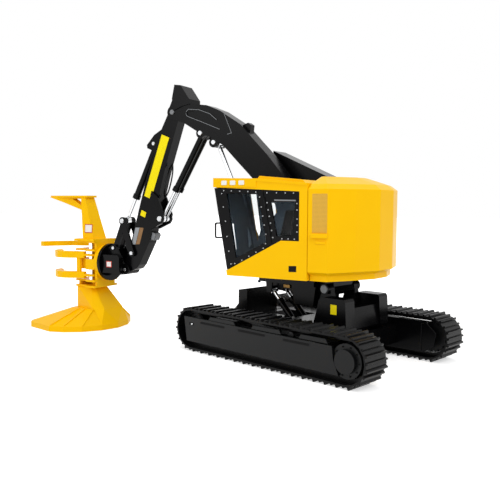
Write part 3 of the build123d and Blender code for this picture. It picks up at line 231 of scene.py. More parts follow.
# the roof climbs from its rear edge to a bend, and is flatter from there on
ROOF_REAR_Z = 107.4
ROOF_BEND_X, ROOF_BEND_Z = 17.0, 110.4
REAR_RISE, FRONT_RISE, SCREEN_LEAN = 0.093, 0.02, 0.17
MARGIN = 1.0


def inside_cab(x, y, z):
    rear_roof = ROOF_REAR_Z + (x - CAB_BACK) * REAR_RISE
    front_roof = ROOF_BEND_Z + (x - ROOF_BEND_X) * FRONT_RISE
    screen = CAB_FRONT + (z - DECK_Z) * SCREEN_LEAN
    across = CAB_INNER_SIDE + MARGIN < y < HOUSE_SIDE - MARGIN
    lengthwise = CAB_BACK + MARGIN < x < screen - MARGIN
    upright = DECK_Z + MARGIN < z < min(rear_roof, front_roof) - MARGIN
    return across and lengthwise and upright


cab_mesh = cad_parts["cab"].data
cab_mesh.materials.append(cab_lining)
lined = 0
for face in cab_mesh.polygons:
    if inside_cab(*(face.center / MM)):
        face.material_index = 1
        lined += 1
print("lined faces:", lined, "of", len(cab_mesh.polygons))

# %% [markdown]
# Everything below is added by mesh code. Each piece is made from a short table of places, joined
# into one object, and rides on the body that carries it, so it follows every joint.

# %% Mesh helpers
def add_object(name, bm, material, body, bevel_mm=0.0):
    # bm is drawn in millimetres, and the mesh is in metres
    bmesh.ops.scale(bm, vec=(MM, MM, MM), verts=bm.verts)
    mesh = bpy.data.meshes.new(name)
    bmesh.ops.recalc_face_normals(bm, faces=bm.faces)
    bm.to_mesh(mesh)
    bm.free()
    piece = bpy.data.objects.new(name, mesh)
    bpy.context.scene.collection.objects.link(piece)
    mesh.materials.append(material)
    if bevel_mm:
        edge = piece.modifiers.new("edge", "BEVEL")
        edge.width = bevel_mm * MM
        edge.segments = 2
        edge.limit_method = "ANGLE"
    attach(piece, body)


def add_disc(bm, centre, axis, radius, depth, sides, top=None):
    # a short cylinder about axis; top is the radius of its far end, where it tapers
    made = bmesh.ops.create_cone(
        bm,
        cap_ends=True,
        segments=sides,
        radius1=radius,
        radius2=radius if top is None else top,
        depth=depth,
    )
    turn = Vector((0, 0, 1)).rotation_difference(Vector(axis)).to_matrix().to_4x4()
    bmesh.ops.transform(bm, matrix=Matrix.Translation(centre) @ turn, verts=made["verts"])


def add_slab(bm, outline, low, high, place):
    # a flat outline pushed from low to high; place turns (a, b, depth) into a point
    rings = []
    for depth in (low, high):
        rings.append([bm.verts.new(place(a, b, depth)) for a, b in outline])
    bm.faces.new(rings[0])
    bm.faces.new(list(reversed(rings[1])))
    count = len(outline)
    for i in range(count):
        j = (i + 1) % count
        bm.faces.new((rings[0][j], rings[0][i], rings[1][i], rings[1][j]))


def add_pierced(bm, outer, holes, low, high, place):
    # a flat sheet with holes, pushed from low to high
    edges = []
    for outline in (outer, *holes):
        ring = [bm.verts.new(place(a, b, low)) for a, b in outline]
        edges += [bm.edges.new((ring[i - 1], ring[i])) for i in range(len(ring))]
    filled = bmesh.ops.triangle_fill(bm, use_beauty=True, use_dissolve=False, edges=edges)
    faces = [f for f in filled["geom"] if isinstance(f, bmesh.types.BMFace)]
    pushed = bmesh.ops.extrude_face_region(bm, geom=faces)
    moved = [v for v in pushed["geom"] if isinstance(v, bmesh.types.BMVert)]
    push = Vector(place(0, 0, high)) - Vector(place(0, 0, low))
    bmesh.ops.translate(bm, vec=push, verts=moved)


def add_hull(bm, points):
    verts = [bm.verts.new(point) for point in points]
    made = bmesh.ops.convex_hull(bm, input=verts)
    spare = [v for v in made["geom_interior"] if isinstance(v, bmesh.types.BMVert)]
    bmesh.ops.delete(bm, geom=spare, context="VERTS")


print("helpers ready: add_object, add_disc, add_slab, add_pierced, add_hull")

# %% [markdown]
# The CAD draws each arm flat, from its own pin: u runs along the arm and v across it. The tracks
# stand askew under the house, so they have a side plane of their own.

# %% Planes of the house, the arms and the tracks
SLEW = math.radians(-14.4)
FOOT_PIN = (-2.0, 80.0)
BOOM_ANGLE, BOOM_REACH = 35.8, 135.3
STICK_ANGLE, STICK_REACH = -68.7, 121.2


def along(origin, angle, u, v):
    a = math.radians(angle)
    return (origin[0] + u * math.cos(a) - v * math.sin(a), origin[1] + u * math.sin(a) + v * math.cos(a))


STICK_PIN = along(FOOT_PIN, BOOM_ANGLE, BOOM_REACH, 0)
HEAD_PIN = along(STICK_PIN, STICK_ANGLE, STICK_REACH, 0)


def side_place(x, z, y):
    return (x, y, z)


def boom_place(u, v, y):
    x, z = along(FOOT_PIN, BOOM_ANGLE, u, v)
    return (x, y, z)


def stick_place(u, v, y):
    x, z = along(STICK_PIN, STICK_ANGLE, u, v)
    return (x, y, z)


def track_place(x, z, y):
    return (x * math.cos(SLEW) - y * math.sin(SLEW), x * math.sin(SLEW) + y * math.cos(SLEW), z)


def track_normal(sign):
    return (-math.sin(SLEW) * sign, math.cos(SLEW) * sign, 0)


print("stick pin and head pin:", [round(v, 1) for v in (*STICK_PIN, *HEAD_PIN)])

# %% [markdown]
# The window frame of the real machine is clamped with dozens of screws. On the model each is a bright
# dot, so each is a low tapered head just proud of the black frame.

# %% Screws round the windows
SCREW_RADIUS, SCREW_HEIGHT, SCREW_TAPER = 0.46, 0.4, 0.6
SCREW_MIDDLE = HOUSE_SIDE + 0.1
door_screws = [
    (39.7, 103.4), (34.3, 103.2), (28.5, 103.0), (23.0, 102.8), (17.6, 102.5),
    (41.1, 101.6), (39.9, 93.6), (38.4, 85.1), (37.3, 76.0), (36.0, 67.2), (34.4, 59.6),
    (31.7, 60.0), (26.9, 62.2), (22.1, 64.8), (17.3, 67.4), (12.4, 69.9), (11.0, 72.6),
    (15.0, 99.6), (13.9, 93.8), (12.9, 88.6), (11.9, 83.4), (10.8, 78.1),
]
frame_screws = [
    (10.3, 102.0), (4.0, 102.0), (-1.6, 101.9), (-6.8, 101.8), (10.1, 96.3), (9.3, 92.2),
    (8.6, 88.5), (7.8, 84.6), (7.0, 80.4), (6.2, 76.3), (-9.0, 95.9), (-9.1, 92.3), (-9.1, 87.2),
    (-9.2, 83.7), (-9.2, 79.9), (-7.6, 75.8), (0.3, 75.8), (-3.7, 75.8),
]
for name, places, body in (
    ("door_screws", door_screws, "door"),
    ("window_frame_screws", frame_screws, "house"),
):
    bm = bmesh.new()
    for x, z in places:
        spot, tip = (x, SCREW_MIDDLE, z), SCREW_RADIUS * SCREW_TAPER
        add_disc(bm, spot, (0, 1, 0), SCREW_RADIUS, SCREW_HEIGHT, sides=10, top=tip)
    add_object(name, bm, turned_steel, body)
print("screws:", len(door_screws) + len(frame_screws))

# %% [markdown]
# Through the windows one sees dark posts and sheets inside the cab, with slivers of white between
# them. Two thin pierced sheets stand for them, one behind the windscreen and one by the boom.

# %% Posts and sheets inside the cab
FRONT_SHEET_X, FRONT_SHEET_Z, FRONT_SHEET_LEAN = 35.8, 55.9, 0.1864


def front_sheet_place(y, z, depth):
    return (FRONT_SHEET_X + (z - FRONT_SHEET_Z) * FRONT_SHEET_LEAN - depth, y, z)


sheets = [
    # outline, holes, from, to, plane
    (
        [(14.2, 56.4), (43.6, 56.4), (43.6, 106.2), (14.2, 106.2)],
        [
            [(33.4, 83.4), (35.6, 83.4), (35.8, 67.6), (34.6, 67.6)],
            [(17.8, 80.9), (16.3, 76.0), (16.3, 69.4), (20.3, 67.8)],
            [(18.2, 101.6), (16.2, 101.6), (16.2, 93.0)],
        ],
        0.4, 1.0, front_sheet_place,
    ),
    (
        [(-13.2, 56.2), (34.8, 56.2), (43.6, 104.6), (-13.2, 104.6)],
        [
            [(43.0, 101.7), (35.4, 101.7), (32.2, 78.9), (34.2, 71.4), (41.2, 90.0)],
            [(25.9, 96.2), (22.1, 96.3), (20.6, 90.4), (23.8, 86.5)],
        ],
        13.3, 13.9, side_place,
    ),
]
bm = bmesh.new()
for outline, holes, low, high, place in sheets:
    add_pierced(bm, outline, holes, low, high, place)
add_object("cab_posts_and_sheets", bm, cab_lining, "house")
print("sheets inside the cab:", len(sheets))

# %% [markdown]
# The air intake of the engine hood is a panel of perforated sheet in the body colour. The holes are
# 0.7 mm apart, too fine to cut, so a material draws them as a grid of dark dots on a paler yellow.
# The dark of the dots is painted shade, the dark inside each hole.

# %% Perforated intake sheet
HOLE_PITCH_MM, HOLE_DEPTH_MM = 0.7, 0.1
perforated_sheet, tree, shader, place = new_material("perforated_yellow_sheet")
cells = add_node(
    tree, "ShaderNodeTexVoronoi", Vector=place, Scale=per_metre(HOLE_PITCH_MM), Randomness=0.0
)
rim = add_node(
    tree, "ShaderNodeMapRange", Value=cells.outputs["Distance"], From_Min=0.25, From_Max=0.42
)
# the dark dots are painted shade: the dark that shows inside each hole
colour = mix_colours(tree, rim.outputs["Result"], "B98C1E", "E3AE2B")
bump = add_node(
    tree, "ShaderNodeBump", Height=rim.outputs["Result"], Distance=HOLE_DEPTH_MM * MM, Strength=0.5
)
tree.links.new(colour, shader.inputs["Base Color"])
tree.links.new(bump.outputs["Normal"], shader.inputs["Normal"])
shader.inputs["Roughness"].default_value = 0.5
print("sheet:", perforated_sheet.name)

# %% [markdown]
# The intake, its ledge and latch, the vent below the window and the strip above it all sit on the
# left side. Each starts a little inside the side, so that no gap shows under it.

# %% Trim on the left side of the house
SUNK_SIDE = HOUSE_SIDE - 0.1
vent_slats = []
for row in range(3):
    z = 57.9 + row * 0.95
    slat = [(-4.6, z), (-8.4, z + 0.1), (-8.4, z + 0.5), (-4.6, z + 0.4)]
    vent_slats.append((slat, HOUSE_SIDE + 0.2, HOUSE_SIDE + 0.4))
side_trim = [
    # name, material, slot, bevel, slabs: outline, from, to
    ("intake_sheet", perforated_sheet, "yellow_lacquer", 0.0, [
        ([(-18.4, 101.4), (-27.4, 101.4), (-27.4, 79.7), (-18.4, 79.7)], SUNK_SIDE, HOUSE_SIDE + 0.12),
    ]),
    ("intake_ledge_and_latch", yellow_enamel, "yellow_lacquer", 0.45, [
        ([(-17.9, 79.4), (-28.0, 79.4), (-28.0, 76.8), (-17.9, 76.8)], SUNK_SIDE, HOUSE_SIDE + 1.6),
        ([(-20.6, 75.2), (-26.6, 75.2), (-26.6, 73.4), (-20.6, 73.4)], SUNK_SIDE, HOUSE_SIDE + 0.5),
    ]),
    ("cab_side_vent", black_enamel, "black_lacquer", 0.1, [
        ([(-4.1, 60.4), (-8.9, 60.6), (-8.9, 57.2), (-4.1, 57.0)], SUNK_SIDE, HOUSE_SIDE + 0.2),
        *vent_slats,
    ]),
    ("rear_window_strip", cast_zinc, "chrome", 0.0, [
        ([(5.4, 97.4), (-8.2, 97.2), (-8.2, 98.0), (5.5, 98.2)], HOUSE_SIDE - 0.05, HOUSE_SIDE + 0.2),
    ]),
]
for name, material, slot, bevel_mm, slabs in side_trim:
    bm = bmesh.new()
    for outline, low, high in slabs:
        add_slab(bm, outline, low, high, side_place)
    add_object(name, bm, material, "house", bevel_mm=bevel_mm)
print("trim on the left side:", len(side_trim))

# %% [markdown]
# The hood's lower edge is a folded lip that hides the deck's edge, and the saw housing has a plate
# behind the skirt that carries the column's line straight down to the rim.

# %% Hood lip and housing plate
HOOD_FRONT = -15.8
TAIL = [(-28.0, HOUSE_SIDE), (-38.6, 31.7), (-47.4, 15.8), (-50.0, 0.0)]
LIP_OUTER, LIP_INNER = 3.3, 3.95
LIP_LOW, LIP_HIGH = 52.3, 55.6


def tail_ring(inset):
    # the tail's outline, drawn in towards the slewing axis
    half = [(HOOD_FRONT, HOUSE_SIDE - inset)]
    for x, y in TAIL:
        share = 1 - inset / math.hypot(x, y)
        half.append((x * share, y * share))
    return half + [(x, -y) for x, y in reversed(half[:-1])]


bm = bmesh.new()
outer, inner = tail_ring(LIP_OUTER), tail_ring(LIP_INNER)
section = ((outer, LIP_LOW), (outer, LIP_HIGH), (inner, LIP_HIGH), (inner, LIP_LOW))
rings = [[bm.verts.new((x, y, z)) for x, y in line] for line, z in section]
for low, high in zip(rings, rings[1:] + rings[:1]):
    for i in range(len(low) - 1):
        bm.faces.new((low[i], low[i + 1], high[i + 1], high[i]))
for i in (0, -1):
    bm.faces.new([ring[i] for ring in rings])
add_object("hood_lip", bm, yellow_enamel, "house")

COLUMN_X, SAW_X = 178.363, 196.003
PLATE_TOP, PLATE_FOOT = 15.4, 4.1
plate_corners = [
    (COLUMN_X - 9.0, 9.9, PLATE_TOP), (COLUMN_X - 9.0, -9.9, PLATE_TOP),
    (COLUMN_X - 2.1, 14.2, PLATE_TOP), (COLUMN_X - 2.1, -14.2, PLATE_TOP),
    (SAW_X - 31.4, 0.0, PLATE_FOOT), (SAW_X - 28.3, 14.7, PLATE_FOOT), (SAW_X - 28.3, -14.7, PLATE_FOOT),
]
bm = bmesh.new()
add_hull(bm, plate_corners)
add_object("housing_back_plate", bm, yellow_enamel, "head")
print("lip and plate made")

# %% [markdown]
# The labels on a model are printed vinyl or tampo ink. Here they stay blank: yellow strips and a
# silver and bronze label on the stick, and white plates with a red edge on the wrist and the mast.

# %% Blank vinyl labels
yellow_vinyl = sprayed_enamel("cut_yellow_vinyl", "FFEB00", "F6E100", 0.35, 1.5, 0.01, 6.0)
white_vinyl = sprayed_enamel("cut_white_vinyl", "F6F2F0", "ECE6E2", 0.4, 1.5, 0.01, 5.0)
red_vinyl = sprayed_enamel("cut_red_vinyl", "C8382C", "BE3226", 0.4, 1.5, 0.01, 5.0)
silver_vinyl = sprayed_enamel("cut_silver_vinyl", "A9ADB0", "8E9296", 0.35, 1.5, 0.01, 4.0)
bronze_vinyl = sprayed_enamel("cut_bronze_vinyl", "9A7550", "86643F", 0.35, 1.5, 0.01, 4.0)

STICK_FACE = 4.2
# a label starts this far inside the face that it lies on
SUNK = 0.05
stick_labels = [
    # name, material, slot, height over the face, outlines
    ("stick_label_strips", yellow_vinyl, "yellow_lacquer", 0.1, [
        [(17.6, -2.4), (17.6, 4.6), (64.0, 4.0), (64.0, -2.8)],
        [(74.6, -2.2), (74.6, 2.6), (78.6, 2.4), (78.6, -2.4)],
    ]),
    ("stick_silver_label", silver_vinyl, "lamp_lens", 0.12, [
        [(88.8, 3.3), (87.4, -0.2), (100.6, -1.0), (101.8, 2.3)],
    ]),
    ("stick_bronze_label", bronze_vinyl, "lamp_lens", 0.12, [
        [(87.3, -0.5), (85.9, -3.8), (98.8, -4.5), (100.4, -1.3)],
    ]),
]
for name, material, slot, height, outlines in stick_labels:
    bm = bmesh.new()
    for sign in (1, -1):
        for outline in outlines:
            add_slab(bm, outline, sign * (STICK_FACE - SUNK), sign * (STICK_FACE + height), stick_place)
    add_object(name, bm, material, "stick")


def leaning_place(face, lean, foot):
    # a side plane at face, which leans by lean for each mm above foot
    def place(x, z, depth):
        return (x, face + depth + lean * (z - foot), z)
    return place


red_edged_plates = [
    # name, body, lower corner, upper corner, face, lean
    ("wrist_plate", "wrist", (160.2, 47.7), (165.4, 52.3), 11.5, 0.0),
    ("mast_plate", "head", (183.6, 72.6), (191.4, 79.2), 6.9, -0.066),
]
plate_layers = [
    # layer, material, inset, height over the face
    ("edge", red_vinyl, 0.0, 0.12),
    ("face", white_vinyl, 0.55, 0.2),
]
for name, body, (x0, z0), (x1, z1), face, lean in red_edged_plates:
    for layer, material, inset, height in plate_layers:
        outline = [
            (x0 + inset, z0 + inset), (x1 - inset, z0 + inset),
            (x1 - inset, z1 - inset), (x0 + inset, z1 - inset),
        ]
        bm = bmesh.new()
        add_slab(bm, outline, -SUNK, height, leaning_place(face, lean, z0))
        add_object(name + "_" + layer, bm, material, body)
print("labels left blank:", len(stick_labels) + len(red_edged_plates))

# %% [markdown]
# Pin ends show as bright washers wherever two arms meet. One table lists them: which body carries
# the washer, where it is in the arm's plane, how far out it sits and its radius.

# %% Pin ends
CAP_DEPTH, CAP_OUT, CAP_TAPER = 0.5, 0.15, 0.85
pin_ends = [
    # name, body, place in the arm's plane, half width, radius
    ("boom_end_pin_caps", "boom", STICK_PIN, 6.5, 1.9),
    ("stick_cylinder_pin_caps", "boom", along(FOOT_PIN, BOOM_ANGLE, 107.0, 1.2), 6.5, 1.7),
    ("lift_pin_caps", "boom", along(FOOT_PIN, BOOM_ANGLE, 94.5, 2.0), 6.0, 1.7),
    ("stick_lug_pin_caps", "stick", along(STICK_PIN, STICK_ANGLE, 74.0, -15.8), 5.7, 2.1),
    ("head_cylinder_pin_caps", "stick", along(STICK_PIN, STICK_ANGLE, 26.0, 9.2), 4.6, 1.4),
    ("idler_pin_caps", "stick", along(STICK_PIN, STICK_ANGLE, 107.4, -1.1), 6.4, 1.5),
    ("rod_pin_caps", "idler_links", along(STICK_PIN, STICK_ANGLE, 88.6, 15.6), 6.55, 1.9),
    ("head_link_pin_caps", "wrist", (HEAD_PIN[0] + 11.3, HEAD_PIN[1] + 15.6), 6.75, 1.3),
    ("stick_end_pin_caps", "wrist", HEAD_PIN, 6.95, 1.3),
]
for name, body, (x, z), half, radius in pin_ends:
    finish = cast_zinc if name == "boom_end_pin_caps" else turned_steel
    bm = bmesh.new()
    for sign in (1, -1):
        spot = (x, sign * (half + CAP_OUT), z)
        add_disc(bm, spot, (0, sign, 0), radius, CAP_DEPTH, sides=24, top=radius * CAP_TAPER)
    add_object(name, bm, finish, body)
print("pin ends:", len(pin_ends))

# %% [markdown]
# The boom is two plates with a recess near its tip. Thin raised lines in bright zinc follow the
# recess edges: they are painted highlights, standing for the glints where those edges catch the light.

# %% Painted highlight lines on the boom
BOOM_FACE, GLINT_LINE_WIDTH, GLINT_LINE_HEIGHT = 5.95, 0.34, 0.3


def add_glint_line(bm, points, sign):
    for (u0, v0), (u1, v1) in zip(points, points[1:]):
        reach = math.hypot(u1 - u0, v1 - v0)
        nu = -(v1 - v0) / reach * GLINT_LINE_WIDTH / 2
        nv = (u1 - u0) / reach * GLINT_LINE_WIDTH / 2
        outline = [(u0 + nu, v0 + nv), (u1 + nu, v1 + nv), (u1 - nu, v1 - nv), (u0 - nu, v0 - nv)]
        add_slab(bm, outline, sign * BOOM_FACE, sign * (BOOM_FACE + GLINT_LINE_HEIGHT), boom_place)


# each line is a painted highlight: a glint along one edge of the recess
glint_lines = [
    [(124.8, 5.6), (123.6, 4.7), (121.6, 4.9), (109.9, 8.1), (95.2, 11.8)],
    [(125.3, 6.4), (124.7, 9.0), (117.1, 13.3), (108.0, 15.9), (101.0, 15.6)],
    [(98.2, 22.0), (85.9, 14.9), (88.3, 12.4)],
]
bm = bmesh.new()
for line in glint_lines:
    for sign in (1, -1):
        add_glint_line(bm, line, sign)
# the bright zinc on these lines is a painted highlight on the black boom
add_object("boom_painted_glint_lines", bm, cast_zinc, "boom")
print("beads:", len(glint_lines) * 2)

# %% [markdown]
# Two short oil hoses lie on the back of the stick, and a zinc box sits below its lug. A hose is a
# round curve through a few points, and its real length is printed.

# %% Stick hoses and box
HOSE_DIAMETER = 1.1
HOSE_ROUTE = [(32.0, -5.0), (40.0, -8.4), (49.0, -9.9), (57.0, -9.8), (62.5, -7.6)]
BOX = [(86.4, -8.4), (86.0, -14.0), (87.5, -15.4), (91.4, -15.0), (93.0, -10.6)]
BOX_HALF = 3.4


def smooth_line(points, steps=8):
    # Catmull-Rom through the points
    line = []
    ends = [points[0], *points, points[-1]]
    for i in range(len(points) - 1):
        p0, p1, p2, p3 = (Vector(p) for p in ends[i:i + 4])
        slope = p2 - p0
        bend = 2 * p0 - 5 * p1 + 4 * p2 - p3
        twist = 3 * p1 - p0 - 3 * p2 + p3
        for step in range(steps):
            t = step / steps
            line.append(0.5 * (2 * p1 + slope * t + bend * t**2 + twist * t**3))
    return [*line, Vector(points[-1])]


def add_hose(name, points, diameter, material, body):
    line = [point * MM for point in smooth_line(points)]
    curve = bpy.data.curves.new(name, "CURVE")
    curve.dimensions = "3D"
    curve.bevel_depth = diameter / 2 * MM
    curve.bevel_resolution = 3
    curve.use_fill_caps = True
    spline = curve.splines.new("POLY")
    spline.points.add(len(line) - 1)
    for spot, point in zip(spline.points, line):
        spot.co = (*point, 1.0)
    curve.materials.append(material)
    hose = bpy.data.objects.new(name, curve)
    bpy.context.scene.collection.objects.link(hose)
    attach(hose, body)
    length = sum((b - a).length for a, b in zip(line, line[1:]))
    return length / MM


hose_rubber = sprayed_enamel("extruded_hose_rubber", "1A1B1C", "232425", 0.45, 0.4, 0.03, 4.0)
for name, y in (("stick_hose_left", 3.2), ("stick_hose_right", -3.2)):
    points = [stick_place(u, v, y) for u, v in HOSE_ROUTE]
    length_mm = add_hose(name, points, HOSE_DIAMETER, hose_rubber, "stick")
    print(name, round(length_mm, 1), "mm")

bm = bmesh.new()
add_slab(bm, BOX, -BOX_HALF, BOX_HALF, stick_place)
add_object("stick_valve_box", bm, cast_zinc, "stick", bevel_mm=0.7)

# %% [markdown]
# The outer guard plate of each track has three long slots, a short one and a screw. On the model the
# slots are shallow recesses filled with shadow, so thin dark strips stand for them. Three thicker
# strips, in the same black as the plate, lie along its top.

# %% Guard plates
GUARD_FACE, SLOT_COVER = 51.9, 0.16
slots = [
    # front, rear, bottom, top
    (51, 29, 19.2, 20.6), (17, -5, 19.2, 20.6), (-19, -38, 19.0, 20.4), (62, 57.5, 17.2, 18.8),
]
shadow_black = sprayed_enamel("unlit_recess_black", "050505", "070707", 0.7, 0.8, 0.01, 4.0)
bm = bmesh.new()
for x0, x1, z0, z1 in slots:
    for sign in (1, -1):
        outline = [(x0, z0), (x0, z1), (x1, z1), (x1, z0)]
        add_slab(bm, outline, sign * GUARD_FACE, sign * (GUARD_FACE + SLOT_COVER), track_place)
add_object("guard_plate_slots", bm, shadow_black, "undercarriage")

STRIP_FOOT, STRIP_TOP, STRIP_SLANT = 22.0, 24.6, 1.5
STRIP_NEAR, STRIP_FAR = 50.2, 51.6
strips = [(44, 20), (6.5, -17), (-30, -50)]
bm = bmesh.new()
for x0, x1 in strips:
    for sign in (1, -1):
        outline = [
            (x0, STRIP_FOOT), (x0 - STRIP_SLANT, STRIP_TOP),
            (x1 + STRIP_SLANT, STRIP_TOP), (x1, STRIP_FOOT),
        ]
        add_slab(bm, outline, sign * STRIP_NEAR, sign * STRIP_FAR, track_place)
add_object("guard_plate_strips", bm, guard_black, "undercarriage", bevel_mm=0.3)

GUARD_SCREW_X, GUARD_SCREW_Z, GUARD_SCREW_MIDDLE = 59.4, 17.9, 52.1
bm = bmesh.new()
for sign in (1, -1):
    spot = track_place(GUARD_SCREW_X, GUARD_SCREW_Z, sign * GUARD_SCREW_MIDDLE)
    add_disc(bm, spot, track_normal(sign), radius=0.75, depth=0.5, sides=12, top=0.5)
add_object("guard_plate_screws", bm, turned_steel, "undercarriage")
print("slots:", len(slots), "strips:", len(strips), "on each guard plate")

# %% [markdown]
# The final drive at the rear of each track has a ring of bolts. In its middle stands a hub, which
# carries a smaller ring of its own.

# %% Final drives
WHEEL_X, WHEEL_Z = 61.5, 14.5
BOLTS, BOLT_RING, BOLT_MIDDLE = 10, 7.9, 50.5
HUB_RADIUS, HUB_TIP, HUB_DEPTH, HUB_MIDDLE = 4.9, 4.5, 1.7, 51.0
HUB_BOLTS, HUB_RING, HUB_BOLT_MIDDLE = 8, 3.6, 51.9


def drive_ring(count, radius, start=0.0):
    # places round the final drive's axle, in the track's side plane
    angles = [2 * math.pi * (step + start) / count for step in range(count)]
    return [(-WHEEL_X + radius * math.cos(a), WHEEL_Z + radius * math.sin(a)) for a in angles]


bm = bmesh.new()
for sign in (1, -1):
    for x, z in drive_ring(BOLTS, BOLT_RING):
        spot = track_place(x, z, sign * BOLT_MIDDLE)
        add_disc(bm, spot, track_normal(sign), radius=0.55, depth=0.7, sides=8, top=0.45)
add_object("drive_bolts", bm, black_enamel, "undercarriage")

bm = bmesh.new()
for sign in (1, -1):
    hub = track_place(-WHEEL_X, WHEEL_Z, sign * HUB_MIDDLE)
    add_disc(bm, hub, track_normal(sign), HUB_RADIUS, HUB_DEPTH, sides=32, top=HUB_TIP)
    for x, z in drive_ring(HUB_BOLTS, HUB_RING, start=0.5):
        spot = track_place(x, z, sign * HUB_BOLT_MIDDLE)
        add_disc(bm, spot, track_normal(sign), radius=0.5, depth=0.5, sides=6)
add_object("drive_hubs", bm, guard_black, "undercarriage", bevel_mm=0.2)
print("bolts on each final drive:", BOLTS + HUB_BOLTS)

# %% [markdown]
# Between the towers show the levelling pin's zinc caps, the carrier's hanging underframe and a brass
# valve. The rear tower has a blank yellow label, and the front one a small knob.

# %% Carbody trim
LEVEL_PIN_X, LEVEL_PIN_Z, LEVEL_CAP_MIDDLE = -20.0, 45.0, 16.5
TOWER_LABEL = [(-29.2, 37.5), (-33.6, 37.5), (-33.6, 31.8), (-29.2, 31.8)]
LABEL_NEAR, LABEL_FAR = 21.95, 22.1
KNOB_PLACE = (40.5, 43.9, 9.0)
VALVE = [(17.5, 43.2), (23.0, 43.2), (23.0, 40.8), (17.5, 40.8)]
VALVE_NEAR, VALVE_FAR = 2.6, 4.4

bm = bmesh.new()
for sign in (1, -1):
    spot = track_place(LEVEL_PIN_X, LEVEL_PIN_Z, sign * LEVEL_CAP_MIDDLE)
    add_disc(bm, spot, track_normal(sign), radius=2.7, depth=0.5, sides=24, top=2.4)
add_object("levelling_pin_caps", bm, cast_zinc, "carrier")

bm = bmesh.new()
add_slab(bm, TOWER_LABEL, LABEL_NEAR, LABEL_FAR, track_place)
add_object("rear_tower_label", bm, yellow_vinyl, "undercarriage")

underframe = [
    # half width, outline
    (13.0, [(-11.0, 46.5), (-9.0, 32.5), (6.0, 32.5), (9.0, 46.5)]),
    (3.3, [(6.0, 46.5), (7.0, 33.0), (13.0, 35.0), (25.0, 43.0), (25.5, 46.5)]),
]
bm = bmesh.new()
for half, outline in underframe:
    add_slab(bm, outline, -half, half, track_place)
add_object("carrier_underframe", bm, black_enamel, "carrier", bevel_mm=0.4)

bm = bmesh.new()
add_disc(bm, track_place(*KNOB_PLACE), (0, 0, 1), radius=1.1, depth=1.6, sides=16, top=0.8)
add_object("front_tower_knob", bm, cab_lining, "undercarriage")

bm = bmesh.new()
add_slab(bm, VALVE, VALVE_NEAR, VALVE_FAR, track_place)
add_object("levelling_valve", bm, brass, "carrier", bevel_mm=0.3)
print("carbody trim made")

# %% [markdown]
# Each track shoe has a second, lower ridge between the tall ones, all round the loop.

# %% Low ridges on the track shoes
PATH_RADIUS, SHOES = 13.2, 43
SHOE_PITCH = (4 * WHEEL_X + 2 * math.pi * PATH_RADIUS) / SHOES
TRACK_MIDDLE, SHOE_HALF = 42.5, 9.3
RIDGE = [(-1.7, -0.3), (-1.3, 0.75), (-0.5, 0.75), (-0.1, -0.3)]


def on_loop(distance):
    # place and heading on the shoes' outer face, from the top centre forwards
    bend = math.pi * PATH_RADIUS
    if distance < WHEEL_X:
        return distance, PATH_RADIUS, 0.0
    if distance < WHEEL_X + bend:
        a = (distance - WHEEL_X) / PATH_RADIUS
        return WHEEL_X + PATH_RADIUS * math.sin(a), PATH_RADIUS * math.cos(a), -a
    if distance < 3 * WHEEL_X + bend:
        return 2 * WHEEL_X + bend - distance, -PATH_RADIUS, -math.pi
    if distance < 3 * WHEEL_X + 2 * bend:
        a = math.pi + (distance - 3 * WHEEL_X - bend) / PATH_RADIUS
        return -WHEEL_X + PATH_RADIUS * math.sin(a), PATH_RADIUS * math.cos(a), -a
    return distance - 4 * WHEEL_X - 2 * bend, PATH_RADIUS, 0.0


bm = bmesh.new()
for shoe in range(SHOES):
    x, z, heading = on_loop((shoe + 0.5) * SHOE_PITCH)
    ridge = [along((x, z + WHEEL_Z), math.degrees(heading), u, v) for u, v in RIDGE]
    for middle in (TRACK_MIDDLE, -TRACK_MIDDLE):
        add_slab(bm, ridge, middle - SHOE_HALF, middle + SHOE_HALF, track_place)
add_object("track_shoe_ridges", bm, track_black, "undercarriage")
print("ridges:", 2 * SHOES)

# %% [markdown]
# The inner side of each track is closed by a long plate with pointed ends, which has two upright
# ribs towards its rear.

# %% Inner track plates
INNER_PLATE = [(64, 24.2), (-60, 24.2), (-67, 18.0), (-65.5, 9.5), (-58, 5.2), (60, 5.2), (67, 12)]
INNER_PLATE_NEAR, INNER_PLATE_FAR = 33.3, 34.5
RIBS = [-56, -34]
RIB_WIDTH, RIB_FOOT, RIB_TOP = 1.4, 6.0, 23.4
RIB_NEAR, RIB_FAR = 32.8, 33.4
bm = bmesh.new()
for sign in (1, -1):
    add_slab(bm, INNER_PLATE, sign * INNER_PLATE_NEAR, sign * INNER_PLATE_FAR, track_place)
    for x in RIBS:
        rib = [(x, RIB_FOOT), (x, RIB_TOP), (x - RIB_WIDTH, RIB_TOP), (x - RIB_WIDTH, RIB_FOOT)]
        add_slab(bm, rib, sign * RIB_NEAR, sign * RIB_FAR, track_place)
add_object("inner_track_plates", bm, black_enamel, "undercarriage", bevel_mm=0.3)
print("inner plates made")

# %% [markdown]
# The camera stands where the photograph was taken from. Its place and turn were fitted to known
# points of the model, so the render can be laid over the photo.

# %% Camera
FOCAL_PIXELS, FRAME_PIXELS, SENSOR_MM = 642.49, 500, 36.0
CAMERA_PLACE = Vector((-0.1672, 0.3726, 0.0960))
YAW, PITCH, ROLL = (math.radians(v) for v in (-60.0, 4.17, -0.294))

